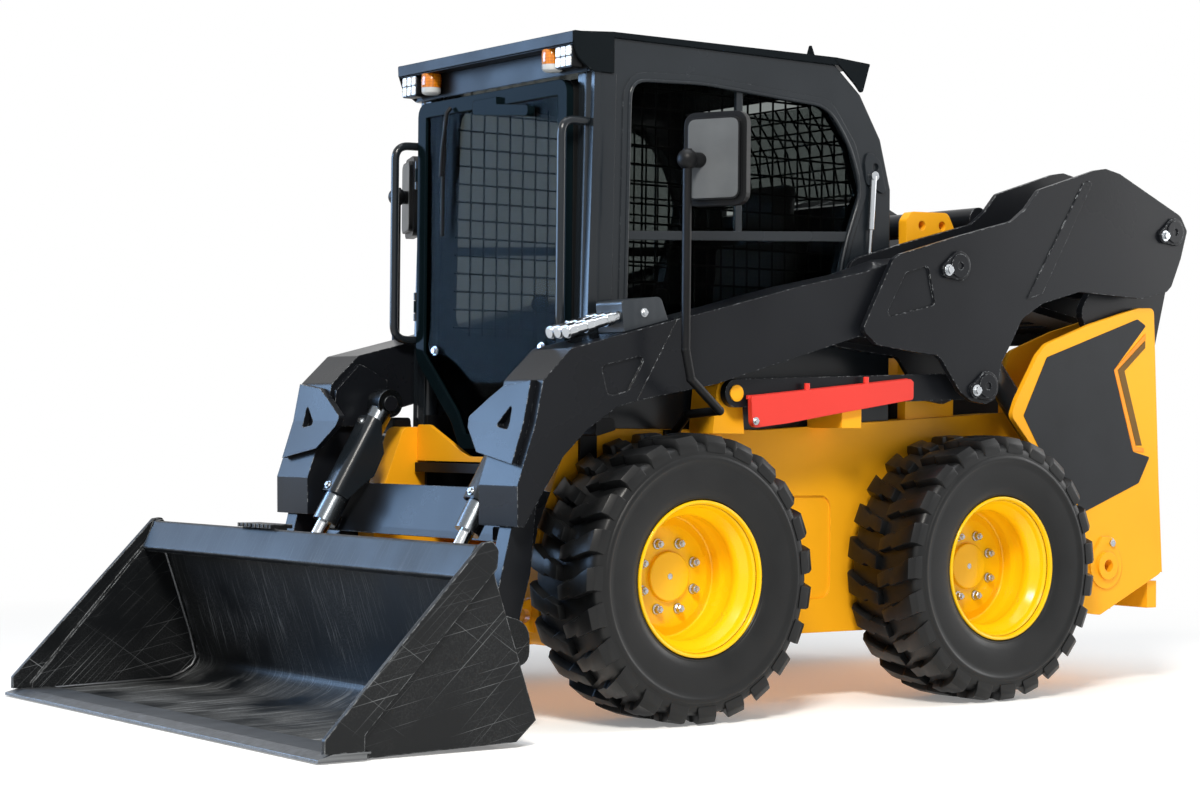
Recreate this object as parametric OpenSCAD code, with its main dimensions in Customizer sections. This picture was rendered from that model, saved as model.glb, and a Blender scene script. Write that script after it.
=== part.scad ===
// Skid steer loader: a compact four-wheel machine with a vertical-lift arm and a dirt bucket.
// Millimetres; X forward, Y left, Z up. Outlines are drawn about the middle of the wheelbase
// on the ground, then moved so that the origin is the bottom centre of the whole machine.

/* [Wheels] */
// Distance between the two axles
wheelbase = 1208; // [1190:1:1220]
// Radius over the tips of the tyre's lugs, which is also the height of the axles
tyre_r = 416; // [408:1:418]
// Width of the tyre over its sidewalls
tyre_w = 300; // [292:1:304]
// Height of the lugs above the tread
lug_h = 26; // [18:1:30]
// Lugs on each shoulder of a tyre
lug_count = 23; // [20:1:24]
// Radius of the rim's bead seat
rim_r = 208; // [202:1:212]
// Radius of the axle spindles
spindle_r = 45; // [40:1:50]
// Distance from the chain case to the middle of a wheel
wheel_out = 168; // [166:1:176]

/* [Lift linkage] */
// Rear link's pin on the tower, x
pin_link_x = -1385; // [-1390:1:-1380]
// Rear link's pin on the tower, z
pin_link_z = 960; // [955:1:965]
// Rear link's pin on the arm, x
pin_arm_x = -1500; // [-1505:1:-1495]
// Rear link's pin on the arm, z
pin_arm_z = 1522; // [1517:1:1527]
// Control link's pin on the frame, x
pin_control_x = 350; // [345:1:355]
// Control link's pin on the frame, z
pin_control_z = 950; // [945:1:955]
// Control link's pin on the arm, x
pin_lug_x = -619; // [-624:1:-614]
// Control link's pin on the arm, z
pin_lug_z = 988; // [983:1:993]
// Lift cylinder's pin on the tower, x
pin_lift_base_x = -1225; // [-1230:1:-1220]
// Lift cylinder's pin on the tower, z
pin_lift_base_z = 560; // [555:1:565]
// Lift cylinder's pin on the arm, x
pin_lift_eye_x = -493; // [-498:1:-488]
// Lift cylinder's pin on the arm, z
pin_lift_eye_z = 1362; // [1357:1:1367]
// Bucket's pin on the arm, x
pin_bucket_x = 1160; // [1157:1:1163]
// Bucket's pin on the arm, z
pin_bucket_z = 240; // [237:1:243]
// Tilt cylinder's pin on the arm, x
pin_tilt_base_x = 925; // [922:1:928]
// Tilt cylinder's pin on the arm, z
pin_tilt_base_z = 915; // [912:1:918]
// Tilt cylinder's pin on the bucket, x
pin_tilt_eye_x = 1225; // [1222:1:1228]
// Tilt cylinder's pin on the bucket, z
pin_tilt_eye_z = 400; // [397:1:403]
// Radius of the pins that carry the links
link_pin_r = 32; // [28:1:35]
// Radius of the bucket's pins
bucket_pin_r = 25; // [22:1:28]

/* [Lift arm] */
// Gap between the cab and the arm's inner plate
arm_gap = 30; // [28:1:36]
// Width of the arm's rear half over its side plates
arm_w = 205; // [203:1:212]
// Thickness of the arm's inner plate
arm_plate = 16; // [12:1:18]
// Thickness of the arm's outer plate
arm_skin = 18; // [14:1:20]
// Depth of the pockets pressed into the arm's outer face
pocket_depth = 7; // [4:1:9]
// Radius of the lift cylinder's barrel
lift_barrel_r = 40; // [38:1:42]
// Radius of the lift cylinder's rod
lift_rod_r = 24; // [20:1:26]
// Radius of the tilt cylinder's barrel
tilt_barrel_r = 38; // [36:1:39]
// Radius of the tilt cylinder's rod
tilt_rod_r = 22; // [18:1:24]

/* [Cab] */
// Half the width of the cab
cab_half = 470; // [462:1:478]
// Thickness of the cab's side walls
cab_wall = 40; // [36:1:42]
// Radius of the front pillars
pillar_r = 34; // [28:1:36]
// Thickness of the window glass
glass_t = 6; // [4:1:8]
// Half the width of the seat
seat_half = 240; // [220:1:250]
// Half the width of the door
door_half = 405; // [398:1:408]
// Radius of the door's hinge pins
door_pin_r = 7; // [5:1:9]
// Radius of the grab handles
handle_r = 13; // [11:1:15]

/* [Frame] */
// Width of each chain case
case_w = 95; // [90:1:100]
// Height of the belly plate above the ground
belly_z = 215; // [205:1:225]
// Height of the chain case's top at the front
case_z = 842; // [838:1:846]
// Radius of the tie-down holes
tie_r = 20; // [16:1:22]
// Radius of the tailgate's hinge pins
gate_pin_r = 9; // [7:1:11]

/* [Bucket] */
// Half the width of the bucket
bucket_half = 954; // [930:1:980]
// Thickness of the bucket's side plates
bucket_side = 18; // [14:1:20]
// Thickness of the side cutters
cutter_t = 16; // [12:1:20]
// Front edge of the cutting edge
edge_x = 1944; // [1935:1:1960]
// Rearmost point of the lift arm
tail_x = -1573; // [-1576:1:-1573]

/* [Fits] */
// Radial running clearance of pins in their bores
fit = 0.05; // [0.02:0.01:0.1]
// Gap between pieces that rest against each other
seat_gap = 0.3; // [0.2:0.1:0.6]

/* [Hidden] */
$fn = 48;

origin_x = (edge_x + tail_x) / 2;
dark = [0.17, 0.19, 0.21];
yellow = [0.98, 0.71, 0.12];
steel = [0.62, 0.63, 0.64];
black = [0.06, 0.06, 0.07];
glass = [0.12, 0.2, 0.22];

pin_link = [pin_link_x, pin_link_z];
pin_arm = [pin_arm_x, pin_arm_z];
pin_control = [pin_control_x, pin_control_z];
pin_lug = [pin_lug_x, pin_lug_z];
pin_lift_base = [pin_lift_base_x, pin_lift_base_z];
pin_lift_eye = [pin_lift_eye_x, pin_lift_eye_z];
pin_bucket = [pin_bucket_x, pin_bucket_z];
pin_tilt_base = [pin_tilt_base_x, pin_tilt_base_z];
pin_tilt_eye = [pin_tilt_eye_x, pin_tilt_eye_z];
arm_pin_r = link_pin_r + 3;
tie_rear = [-1212, 404];
tie_front = [982, 304];

// Layers from the middle outwards
arm_in = cab_half + arm_gap;
arm_out = arm_in + arm_w;
beam_in = arm_in + arm_plate;
beam_out = arm_out - 33;
drop_in = cab_half + 10;
case_out = arm_in;
case_in = case_out - case_w;
wheel_y = case_out + wheel_out;
wheel_z = tyre_r;
hub_face = wheel_y - 28;
tower_in = arm_in - 16;
tower_out = arm_in + 155;
tower_t = 18;
link_in = arm_in + 30;
link_out = arm_in + 140;
lift_y = arm_in + 68;
control_in = arm_in + 116;
strut_in = arm_in + 150;
foot_in = arm_in + 65;
foot_out = arm_in + 125;
tilt_y = cab_half - 70;
console_in = seat_half + 22;
floor_half = case_in - 7;

// Helpers

function unit(v) = v / norm(v);
function turn(a) = a > 180 ? a - 360 : (a <= -180 ? a + 360 : a);
function flat(q) = [q[0], q[1]];

// Points of one corner of an outline, rounded by r or by what its edges leave room for.
function corner(a, p, b, r, n) =
  let (u = unit(a - p), v = unit(b - p),
       half = acos(max(-1, min(1, u * v))) / 2,
       room = 0.49 * min(norm(a - p), norm(b - p)) * tan(half),
       s = min(r, room),
       c = p + unit(u + v) * s / sin(half),
       from = p + u * s / tan(half) - c,
       to = p + v * s / tan(half) - c,
       a0 = atan2(from[1], from[0]),
       da = turn(atan2(to[1], to[0]) - a0))
  [for (i = [0 : n]) c + s * [cos(a0 + da * i / n), sin(a0 + da * i / n)]];

// Outline with rounded corners from a list of [x, z, radius].
function rounded(pts, n = 4) =
  let (m = len(pts))
  [for (i = [0 : m - 1])
    let (q = pts[i])
    each (len(q) < 3 || q[2] == 0 ? [flat(q)]
          : corner(flat(pts[(i + m - 1) % m]), flat(q), flat(pts[(i + 1) % m]), q[2], n))];

// Outline moved outwards by d (a list that runs anticlockwise; a negative d shrinks it).
function grown(pts, d) =
  let (m = len(pts))
  [for (i = [0 : m - 1])
    let (p = flat(pts[i]),
         u = unit(p - flat(pts[(i + m - 1) % m])),
         v = unit(flat(pts[(i + 1) % m]) - p),
         n1 = [u[1], -u[0]],
         n2 = [v[1], -v[0]],
         q = p + (n1 + n2) * d / (1 + n1 * n2))
    [q[0], q[1], len(pts[i]) > 2 ? max(0, pts[i][2] + d) : 0]];

// Plate cut from an x-z outline, from y0 to y1.
module slab(pts, y0, y1) {
  translate([0, y1, 0])
    rotate([90, 0, 0])
      linear_extrude(y1 - y0)
        polygon(rounded(pts));
}

// Plate cut from a y-z outline, from x0 to x1.
module wall(pts, x0, x1) {
  translate([x0, 0, 0])
    rotate([90, 0, 90])
      linear_extrude(x1 - x0)
        polygon(rounded(pts));
}

module brick(x0, x1, y0, y1, z0, z1) {
  translate([x0, y0, z0])
    cube([x1 - x0, y1 - y0, z1 - z0]);
}

// Round bar across the machine at [x, z].
module rod_y(p, r, y0, y1) {
  translate([p[0], y1, p[1]])
    rotate([90, 0, 0])
      cylinder(r = r, h = y1 - y0);
}

// Round bar between two points in space.
module rod(a, b, r) {
  d = b - a;
  translate(a)
    rotate([0, acos(d[2] / norm(d)), atan2(d[1], d[0])])
      cylinder(r = r, h = norm(d));
}

// Bent tube through a list of points, with a rounded knuckle at each bend.
module bent(pts, r) {
  for (i = [0 : len(pts) - 2])
    rod(pts[i], pts[i + 1], r);
  for (i = [1 : len(pts) - 2])
    translate(pts[i])
      sphere(r + 0.8);
}

// Flat bar with round ends between two pins in the x-z plane.
module bar(p, q, r, y0, y1) {
  d = unit(q - p);
  n = [-d[1], d[0]] * r;
  rod_y(p, r, y0, y1);
  rod_y(q, r, y0, y1);
  slab([p + n, p - n, q - n, q + n], y0, y1);
}

module both() {
  children();
  mirror([0, 1, 0])
    children();
}

// Moves a piece drawn along local +X so that it runs from pin p to pin q.
module along(p, q) {
  translate([p[0], 0, p[1]])
    rotate([0, -atan2(q[1] - p[1], q[0] - p[0]), 0])
      children();
}

// Chassis

belly_t = 14;
panel_x = 786;
frame_half = case_in - seat_gap;
front_plate_x = 952;
bumper_x = -1486;

// Belly, cross plates and bumper that tie the two chain cases together.
module main_frame() {
  color(yellow) {
    brick(-1190, 945, -frame_half, frame_half, belly_z, belly_z + belly_t);
    brick(front_plate_x - 22, front_plate_x, -frame_half, frame_half, belly_z, belly_z + 215);
    brick(-432, -420, -frame_half, frame_half, belly_z, 860);
    brick(-1450, -1190 - seat_gap, -tower_in, tower_in, belly_z + 26, belly_z + 44);
    brick(-1200, -1180, -frame_half, frame_half, belly_z, belly_z + 44);
    difference() {
      brick(bumper_x, bumper_x + 46, -tower_out, tower_out, belly_z + 40, belly_z + 130);
      both()
        brick(bumper_x - 1, bumper_x + 30, tower_out - 75, tower_out - 25, belly_z + 65, belly_z + 105);
    }
    wall([[-frame_half, 735], [frame_half, 735], [frame_half, 850, 12], [340, 850, 60], [110, 752, 60],
          [-110, 752, 60], [-340, 850, 60], [-frame_half, 850, 12]], panel_x, panel_x + 14);
  }
}

// Side cases for the drive chains, with the axle tubes, the spindles and the brackets on them.
module chain_cases() {
  color(yellow)
    both() {
      difference() {
        union() {
          slab([[-1190, belly_z], [930, belly_z, 30], [958, 300, 30], [958, 560, 40], [850, case_z, 30],
                [140, case_z], [-892, 905], [-1190, 905]], case_in, case_out);
          slab([[930, 250], [985, 262, 30], [1022, 304, 30], [985, 346, 30], [930, 360]],
               case_out - 62, case_out - 38);
        }
        rod_y(tie_front, tie_r, case_in, case_out);
        slab([[-150, 320, 40], [150, 320, 40], [150, 640, 40], [-150, 640, 40]], case_out - 6, case_out + 1);
      }
      for (x = [-wheelbase / 2, wheelbase / 2]) {
        rod_y([x, wheel_z], 82, case_out - 10, case_out + 45);
        rod_y([x, wheel_z], spindle_r, case_out + 40, hub_face);
      }
      slab([[290, 830], [410, 830], [395, 985, 30], [305, 985, 30]], case_out - 10, control_in - 10);
      rod_y(pin_control, bucket_pin_r, control_in - 14, control_in + 28);
      brick(-140, -60, case_out - 10, strut_in, 850, 922);
      difference() {
        slab([[-690, 870], [-477, 870], [-477, 1520, 20], [-500, 1548, 20], [-660, 1552, 25], [-690, 1500]],
             tower_in - 32, tower_in + 4);
        for (p = [[-545, 1505], [-635, 1508]])
          rod_y(p, 15, tower_in - 40, tower_in + 10);
      }
    }
}

tower = [[-1445, 1265, 20], [-1370, 1263, 30], [-1136, 1201, 40], [-930, 1131, 50], [-888, 1093, 30],
         [-794, 950, 30], [-769, 894, 25], [-881, 781, 20], [-960, 705], [-1020, 600], [-1054, 500],
         [-1064, 416], [-1054, 330], [-1020, 262, 15], [-1189, 241, 30], [-1494, 375, 30],
         [-1474, 686, 60]];
knuckle_z = [430, 1010];
knuckle_h = 70;
gate_x = -1488;
gate_y = tower_in - 22;

// Rear corner boxes that carry the rear links, the lift cylinders and the tailgate's hinges.
module rear_towers() {
  color(yellow) {
    both() {
      difference() {
        union() {
          slab(tower, tower_out, tower_out + tower_t);
          rod_y(tie_rear, 76, tower_out + tower_t - 2, tower_out + tower_t + 7);
          slab([tie_rear + [-60, 40], tie_rear + [60, 40], tie_rear + [22, 96, 20], tie_rear + [-22, 96, 20]],
               tower_out + tower_t - 2, tower_out + tower_t + 7);
          rod_y(tie_rear, 46, tower_out + tower_t, tower_out + tower_t + 17);
        }
        rod_y(tie_rear, tie_r, tower_out - 5, tower_out + tower_t + 30);
      }
      slab([[-1440, 1250, 20], [-1370, 1240, 30], [-1136, 1180, 40], [-940, 1110, 30], [-900, 1000, 30],
            [-900, 906], [-1190, 906], [-1190, 241], [-1480, 375, 20], [-1464, 686, 60]],
           tower_in, tower_in + 12);
      slab([[-1494, 375], [-1474, 686], [-1462, 890], [-1448, 890], [-1460, 686], [-1480, 375]],
           tower_in, tower_out + tower_t);
      rod_y(pin_link, link_pin_r, tower_in + 10, tower_out + 2);
      rod_y(pin_lift_base, link_pin_r - 4, tower_in + 10, tower_out + 2);
    }
    for (z = knuckle_z) {
      translate([gate_x, -gate_y, z])
        cylinder(r = gate_pin_r, h = knuckle_h);
      for (h = [0, knuckle_h - 22])
        union() {
          translate([gate_x, -gate_y, z + h])
            cylinder(r = gate_pin_r + 9, h = 22);
          brick(gate_x, gate_x + 60, -tower_in - 4, -gate_y, z + h, z + h + 22);
        }
    }
  }
}

stop_x = 795;

// Rubber blocks on brackets under the lowered arms.
module arm_stops() {
  color(black)
    both() {
      slab([[stop_x - 38, 838, 6], [stop_x + 36, 818, 6], [stop_x + 30, 872, 10], [stop_x - 32, 872, 10]],
           case_out + 8, case_out + 90);
      brick(stop_x - 30, stop_x + 30, case_out, case_out + 10, 700, 862);
    }
}

// Lock bar that holds the raised arms, stored on the left side.
module lift_strut() {
  color([0.9, 0.27, 0.22]) {
    slab([[315, 942, 10], [257, 947, 20], [-329, 1005, 12], [-342, 996, 5], [-342, 941, 10],
          [-42, 896, 30], [170, 863, 20], [310, 847, 20]], strut_in, strut_in + 18);
    slab([[317, 944], [257, 949], [-329, 1007], [-329, 995], [257, 937], [317, 932]], strut_in - 5, strut_in + 4);
    for (p = [[-150, 982], [90, 958]])
      rod([p[0], strut_in + 9, p[1]], [p[0], strut_in + 9, p[1] + 26], 9);
  }
}

module engine() {
  color(dark)
    brick(-1330, -560, -330, 330, belly_z + 44, 1010);
}

// Pressed hood over the engine, with louvres across its top.
module engine_hood() {
  color(dark)
    difference() {
      slab([[-1425, 1150], [-1425, 1215, 30], [-1000, 1290, 60], [-520, 1300, 8], [-520, 1080], [-540, 1080],
            [-540, 1275], [-1000, 1264, 60], [-1405, 1192], [-1405, 1150]], -tower_in + 32, tower_in - 32);
      for (i = [0 : 9])
        brick(-1330 + i * 60, -1295 + i * 60, -300, 300, 1150, 1320);
    }
}

// Cab

// Height of the chain case's top edge, which rises towards the rear.
function chain_top(x) = x > 140 ? case_z : case_z + (140 - x) * (905 - case_z) / 1032;

front_x = 775;
roof_z = 1990;
cab_side = [[front_x, case_z + seat_gap], [front_x, 1100], [752, roof_z, 30], [-180, roof_z, 40], [-287, 1905, 40],
            [-375, 1769, 60], [-420, 1613, 40], [-420, chain_top(-420) + seat_gap], [140, case_z + seat_gap]];
side_window = [[-205, 1150, 50], [640, 1150, 50], [628, 1872, 60], [354, 1885], [-150, 1858, 60],
               [-245, 1740, 60], [-296, 1600, 50], [-236, 1450, 40], [-205, 1340, 40]];
rear_window = [[-260, 1990], [-420, 1850], [-470, 1600], [-350, 1560], [-300, 1760], [-220, 1880]];
hinge_x = front_x + 20;
hinge_y = -door_half - 15;
hinge_z = [1180, 1600];
hinge_h = 90;

// Welded cab: side walls with pressed window rims, round front pillars, header and rear wall.
module cab_frame() {
  color(dark) {
    difference() {
      union() {
        both() {
          slab(cab_side, cab_half - cab_wall, cab_half);
          slab(grown(side_window, 24), cab_half - 8, cab_half + 4);
          rod([front_x - 32, cab_half - pillar_r - 2, case_z + 2], [front_x - 50, cab_half - pillar_r - 2, roof_z - 4],
              pillar_r);
        }
        brick(700, front_x, -cab_half, cab_half, 1885, roof_z - 2);
        slab([[-180, 1990], [-287, 1905], [-375, 1769], [-420, 1613], [-420, 878], [-395, 878], [-395, 1610],
              [-352, 1760], [-266, 1890], [-170, 1968]], -cab_half, cab_half);
      }
      both()
        slab(side_window, cab_half - cab_wall - 20, cab_half + 10);
      slab(rear_window, -350, 350);
    }
    both() {
      slab([[660, 1398], [660, 1424], [-245, 1470], [-240, 1438]], cab_half - 14, cab_half + 2);
      slab([[216, 1430], [216, 1885], [192, 1885], [192, 1430]], cab_half - 14, cab_half - 2);
    }
    for (z = hinge_z) {
      translate([hinge_x, hinge_y, z])
        cylinder(r = door_pin_r, h = hinge_h);
      for (h = [0, hinge_h - 24]) {
        brick(front_x - 40, hinge_x, hinge_y - 9, hinge_y + 9, z + h, z + h + 24);
        translate([hinge_x, hinge_y, z + h])
          cylinder(r = door_pin_r + 5, h = 24);
      }
    }
  }
}

visor_x = 838;
visor_low = 1885;

// Roof panel with a ribbed top, a visor with cheeks at the front, a spoiler and an antenna fin.
module cab_roof() {
  color(dark) {
    slab([[visor_x - 4, 1960], [visor_x, 1995, 10], [695, 2006, 30], [-180, 2014, 30], [-322, 2006, 4],
          [-322, 1996, 4], [-180, roof_z], [front_x + 1, roof_z], [front_x + 13, 1960]],
         -cab_half - 8, cab_half + 8);
    for (y = [-280, -100, 80, 260])
      slab([[640, 2000], [600, 2016], [-150, 2022, 8], [-190, 2006]], y, y + 60);
    both() {
      slab([[visor_x + 2, 1997, 6], [front_x - 84, 1997], [front_x - 84, visor_low], [front_x - 5, visor_low, 30],
            [820, 1918, 40], [visor_x, 1965, 20]], cab_half + 1, cab_half + 9);
      slab([[-170, 2010], [-322, 2005], [-290, 1906, 8], [-262, 1935]], cab_half + 1, cab_half + 9);
    }
    slab([[-262, 2006], [-186, 2006], [-210, 2034], [-224, 2076, 3], [-231, 2076, 3]], 297, 303);
  }
}

// Moulded tub: floor, walls, seat stand and the step bar below the door.
module cab_floor() {
  color(black) {
    brick(-395, front_x, -floor_half, floor_half, 560, 572);
    brick(-395, -383, -floor_half, floor_half, 572, 960);
    both() {
      brick(-395, front_x, floor_half - 12, floor_half, 572, 880);
      brick(-395, 690, floor_half - 12, cab_half - cab_wall, 880, 892);
    }
    brick(-240, 220, -seat_half + 50, seat_half - 50, 572, 880 - seat_gap);
    brick(front_x - 5, 812, -floor_half, floor_half, 700, 730);
  }
}

module cab_glass() {
  color(glass) {
    both()
      slab(side_window, cab_half - 20, cab_half - 20 + glass_t);
    slab([[-262, 1885], [-362, 1755], [-404, 1600], [-404 + glass_t, 1598], [-362 + glass_t, 1752],
          [-262 + glass_t, 1880]], -350, 350);
  }
}

// Flat-bar safety mesh inside the side windows.
module side_grilles() {
  color(black)
    both() {
      for (z = [1200 : 80 : 1840])
        brick(-240, 650, cab_half - cab_wall - 6, cab_half - cab_wall, z, z + 8);
      for (x = [-160 : 80 : 560])
        brick(x, x + 8, cab_half - cab_wall - 6, cab_half - cab_wall, 1170, 1848);
    }
}

// Cushion, backrest and headrest of the seat.
module seat() {
  color(black) {
    slab([[-250, 880, 20], [250, 880, 40], [270, 960, 40], [240, 1010, 30], [-180, 985, 30]],
         -seat_half, seat_half);
    slab([[-275, 890, 20], [-243.7, 890], [-180.4, 985], [-240, 1480, 40], [-330, 1490, 40]],
         -seat_half + 20, seat_half - 20);
    slab([[-330, 1490.3], [-245, 1480.9], [-262, 1660, 30], [-335, 1660, 30]], -seat_half + 100, seat_half - 100);
  }
}

// Side consoles with a lever on each.
module controls() {
  color(black)
    both() {
      slab([[-220, 892], [360, 892], [400, 1060, 40], [330, 1110, 40], [-200, 1080, 30]],
           console_in, floor_half - 12);
      rod([370, console_in + 58, 1080], [385, console_in + 58, 1230], 16);
      translate([387, console_in + 58, 1245])
        sphere(28);
    }
}

lamp_z = 1960;

// Square work lamps hung below the visor.
module work_lamps() {
  color([0.9, 0.92, 0.95])
    both()
      difference() {
        wall([[cab_half - 84, lamp_z - 52, 12], [cab_half - 6, lamp_z - 52, 12], [cab_half - 6, lamp_z],
              [cab_half - 84, lamp_z]], 796, 834);
        wall([[cab_half - 76, lamp_z - 46, 8], [cab_half - 14, lamp_z - 46, 8], [cab_half - 14, lamp_z - 6, 8],
              [cab_half - 76, lamp_z - 6, 8]], 830, 836);
      }
}

// Amber turn lamps beside them.
module amber_lamps() {
  color([0.95, 0.5, 0.1])
    both() {
      translate([806, cab_half - 126, lamp_z - 44])
        cylinder(r = 27, h = 44);
      translate([806, cab_half - 126, lamp_z - 50])
        cylinder(r = 20, h = 8);
    }
}

handle_x = 862;

// Bent bars beside the door, bolted to the pillars.
module grab_handles() {
  color(black)
    both()
      bent([[front_x + 0.5, cab_half - 24, 1118], [handle_x - 26, cab_half - 20, 1120],
            [handle_x, cab_half - 16, 1150], [handle_x, cab_half - 16, 1705],
            [handle_x - 26, cab_half - 20, 1738], [front_x - 11.5, cab_half - 24, 1740]], handle_r);
}

mirror_at = [577, arm_in + 313];
mirror_turn = 23.8;
stalk_y = arm_in + 278;

// Mirror heads that look back past the arms, on bent stalks from the chain cases.
module mirrors() {
  color(black)
    both() {
      brick(455, 515, case_out, case_out + 10, 772, 840);
      bent([[484, case_out + 8, 826], [500, case_out + 100, 886], [505, stalk_y - 26, 896], [630, stalk_y - 3, 985],
            [652, stalk_y, 1066], [652, stalk_y, 1640]], 13);
      translate([mirror_at[0], mirror_at[1], 0])
        rotate([0, 0, mirror_turn]) {
          wall([[-100, 1480, 34], [100, 1480, 34], [100, 1748, 34], [-100, 1748, 34]], -22, 4);
          wall([[-84, 1496, 24], [84, 1496, 24], [84, 1732, 24], [-84, 1732, 24]], 2, 16);
        }
      translate([652, stalk_y, 1610])
        sphere(30);
      rod([652, stalk_y, 1610], [588, stalk_y + 2, 1610], 22);
    }
}

// Struts and pivot plates of the tilting cab.
module gas_struts() {
  color(black)
    both() {
      rod([-336, cab_half + 14, 1650], [-326, cab_half + 14, 1480], 11);
      rod([-336, cab_half + 14, 1650], [-316.6, cab_half + 14, 1320], 6);
      difference() {
        slab([[-318, 1735, 20], [-372, 1700, 20], [-402, 1590, 25], [-352, 1610, 20], [-312, 1625, 15],
              [-305, 1690, 15]], cab_half, cab_half + 8);
        rod_y([-350, 1680], 13, cab_half - 1, cab_half + 9);
      }
      brick(-345, -300, cab_half, cab_half + 8, 1300, 1345);
      rod_y([-336, 1650], 15, cab_half + 4, cab_half + 24);
      rod_y([-316.6, 1320], 15, cab_half + 4, cab_half + 24);
    }
}

module tail_lamps() {
  color([0.8, 0.08, 0.06])
    both()
      slab([[-1473.2, 700], [-1467.3, 800], [-1487, 800, 6], [-1493, 700, 6]], tower_out - 95, tower_out - 25);
}

// Door and tailgate

door = [[-150, 776, 40], [150, 776, 40], [200, 860, 90], [door_half, 1056, 60], [door_half, 1868, 40],
        [-door_half, 1868, 40], [-door_half, 1056, 60], [-200, 860, 90]];
door_border = 46;
door_x = front_x + 9;
door_t = 24;
pane_x = door_x + 9;

// Door frame with its hinge leaves and the wiper's housing on the upper rail.
module door_frame() {
  color(black) {
    difference() {
      wall(door, door_x, door_x + door_t);
      wall(grown(door, -door_border), door_x - 1, door_x + door_t + 1);
    }
    for (z = hinge_z)
      difference() {
        union() {
          translate([hinge_x, hinge_y, z + 26])
            cylinder(r = door_pin_r + 5, h = hinge_h - 52);
          brick(hinge_x - 7, hinge_x + 7, hinge_y, -door_half + 5, z + 26, z + hinge_h - 26);
        }
        translate([hinge_x, hinge_y, z + 25])
          cylinder(r = door_pin_r + fit, h = hinge_h - 50);
      }
    wall([[-70, 1802, 14], [228, 1772, 14], [228, 1806, 14], [60, 1824], [60, 1846], [-70, 1846, 10]],
         pane_x + glass_t, door_x + door_t + 16);
  }
}

module door_glass() {
  color(glass)
    wall(grown(door, -door_border), pane_x, pane_x + glass_t);
}

gate_half = tower_in - 40;
gate_back = -1500;
gate_t = 24;
vent_half = gate_half - 104;

// Rear door with a vent opening, hinge knuckles on the right and a latch handle on the left.
module tailgate() {
  color(yellow) {
    difference() {
      wall([[-gate_half, 360, 20], [gate_half, 360, 20], [gate_half, 1130, 60], [-gate_half, 1130, 60]],
           gate_back, gate_back + gate_t);
      wall([[-vent_half, 470, 20], [vent_half, 470, 20], [vent_half, 1030, 20], [-vent_half, 1030, 20]],
           gate_back - 10, gate_back + gate_t + 10);
    }
    for (z = knuckle_z)
      difference() {
        union() {
          translate([gate_x, -gate_y, z + 22.5])
            cylinder(r = gate_pin_r + 9, h = knuckle_h - 45);
          brick(gate_x - 8, gate_x + 8, -gate_y, -gate_half + 6, z + 22.5, z + knuckle_h - 22.5);
        }
        translate([gate_x, -gate_y, z + 20])
          cylinder(r = gate_pin_r + fit, h = knuckle_h - 40);
      }
    brick(gate_back - 14, gate_back + 4, gate_half - 70, gate_half - 30, 700, 830);
  }
}

// Louvres in the tailgate's vent.
module tailgate_grille() {
  color(black) {
    for (z = [494 : 30 : 980])
      brick(gate_back + 4, gate_back + 18, -vent_half, vent_half, z, z + 12);
    for (y = [-230, -5, 220])
      brick(gate_back + 10, gate_back + 20, y, y + 10, 470, 1030);
  }
}

// Lift linkage

// Links that hold the arm's rear end on the towers.
module rear_links() {
  color(dark)
    both()
      difference() {
        union() {
          slab([[-1562, 1560, 60], [-1440, 1592, 60], [-1410, 1440, 60], [-1322, 1000, 60], [-1330, 892, 50],
                [-1440, 905, 50], [-1452, 1010, 60], [-1562, 1400, 80]], link_in, link_out);
          slab([[-1440, 1592, 60], [-1190, 1345, 60], [-1120, 1240, 50], [-1290, 960, 60], [-1400, 1010]],
               link_out - 26, link_out);
        }
        rod_y(pin_link, link_pin_r + fit, link_in - 10, link_out + 10);
        rod_y(pin_arm, arm_pin_r + fit, link_in - 10, link_out + 10);
      }
}

arm_plate_outline =
  [[-857, 1625, 30], [-1120, 1706], [-1169, 1714, 30], [-1236, 1702, 30], [-1540, 1579, 50], [tail_x, 1530, 12],
   [-1542, 1435, 30], [-1496, 1340, 20], [-1473, 1320, 20], [-1347, 1292, 40], [-1047, 1303, 60], [-876, 1259, 60],
   [-782, 1207, 40], [-731, 1125], [-690, 1065], [-672, 985], [-660, 945, 15], [-619, 931, 20], [-559, 939, 15],
   [-508, 967, 20], [-427, 1066, 20], [-407, 1080], [-280, 1091], [-154, 1105, 30], [-93, 1149, 20],
   [-219, 1372, 20], [-248, 1388], [-483, 1453, 60], [-737, 1518, 30], [-799, 1562, 20]];
rear_pocket = [[-182, 1187, 14], [-272, 1332, 14], [-365, 1358, 14], [-398, 1237, 14]];
front_pocket = [[872, 1019, 14], [707, 1056, 14], [776, 947, 14], [846, 934, 14]];
seam_top = [600, 1159.5];
seam_low = [745, 922];
beam_outline =
  [[-300, 1382], [-123, 1327], [116, 1278], [452, 1194], seam_top, seam_low, [457, 974], [-109, 1131], [-300, 1110]];
front_outline =
  [seam_top, [975, 1066, 15], [1072, 975, 20], [1096, 855], [1156, 681], [1154, 567], [1132, 567], [1061, 676],
   [999, 764], [919, 838], [815, 903], seam_low];

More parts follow.
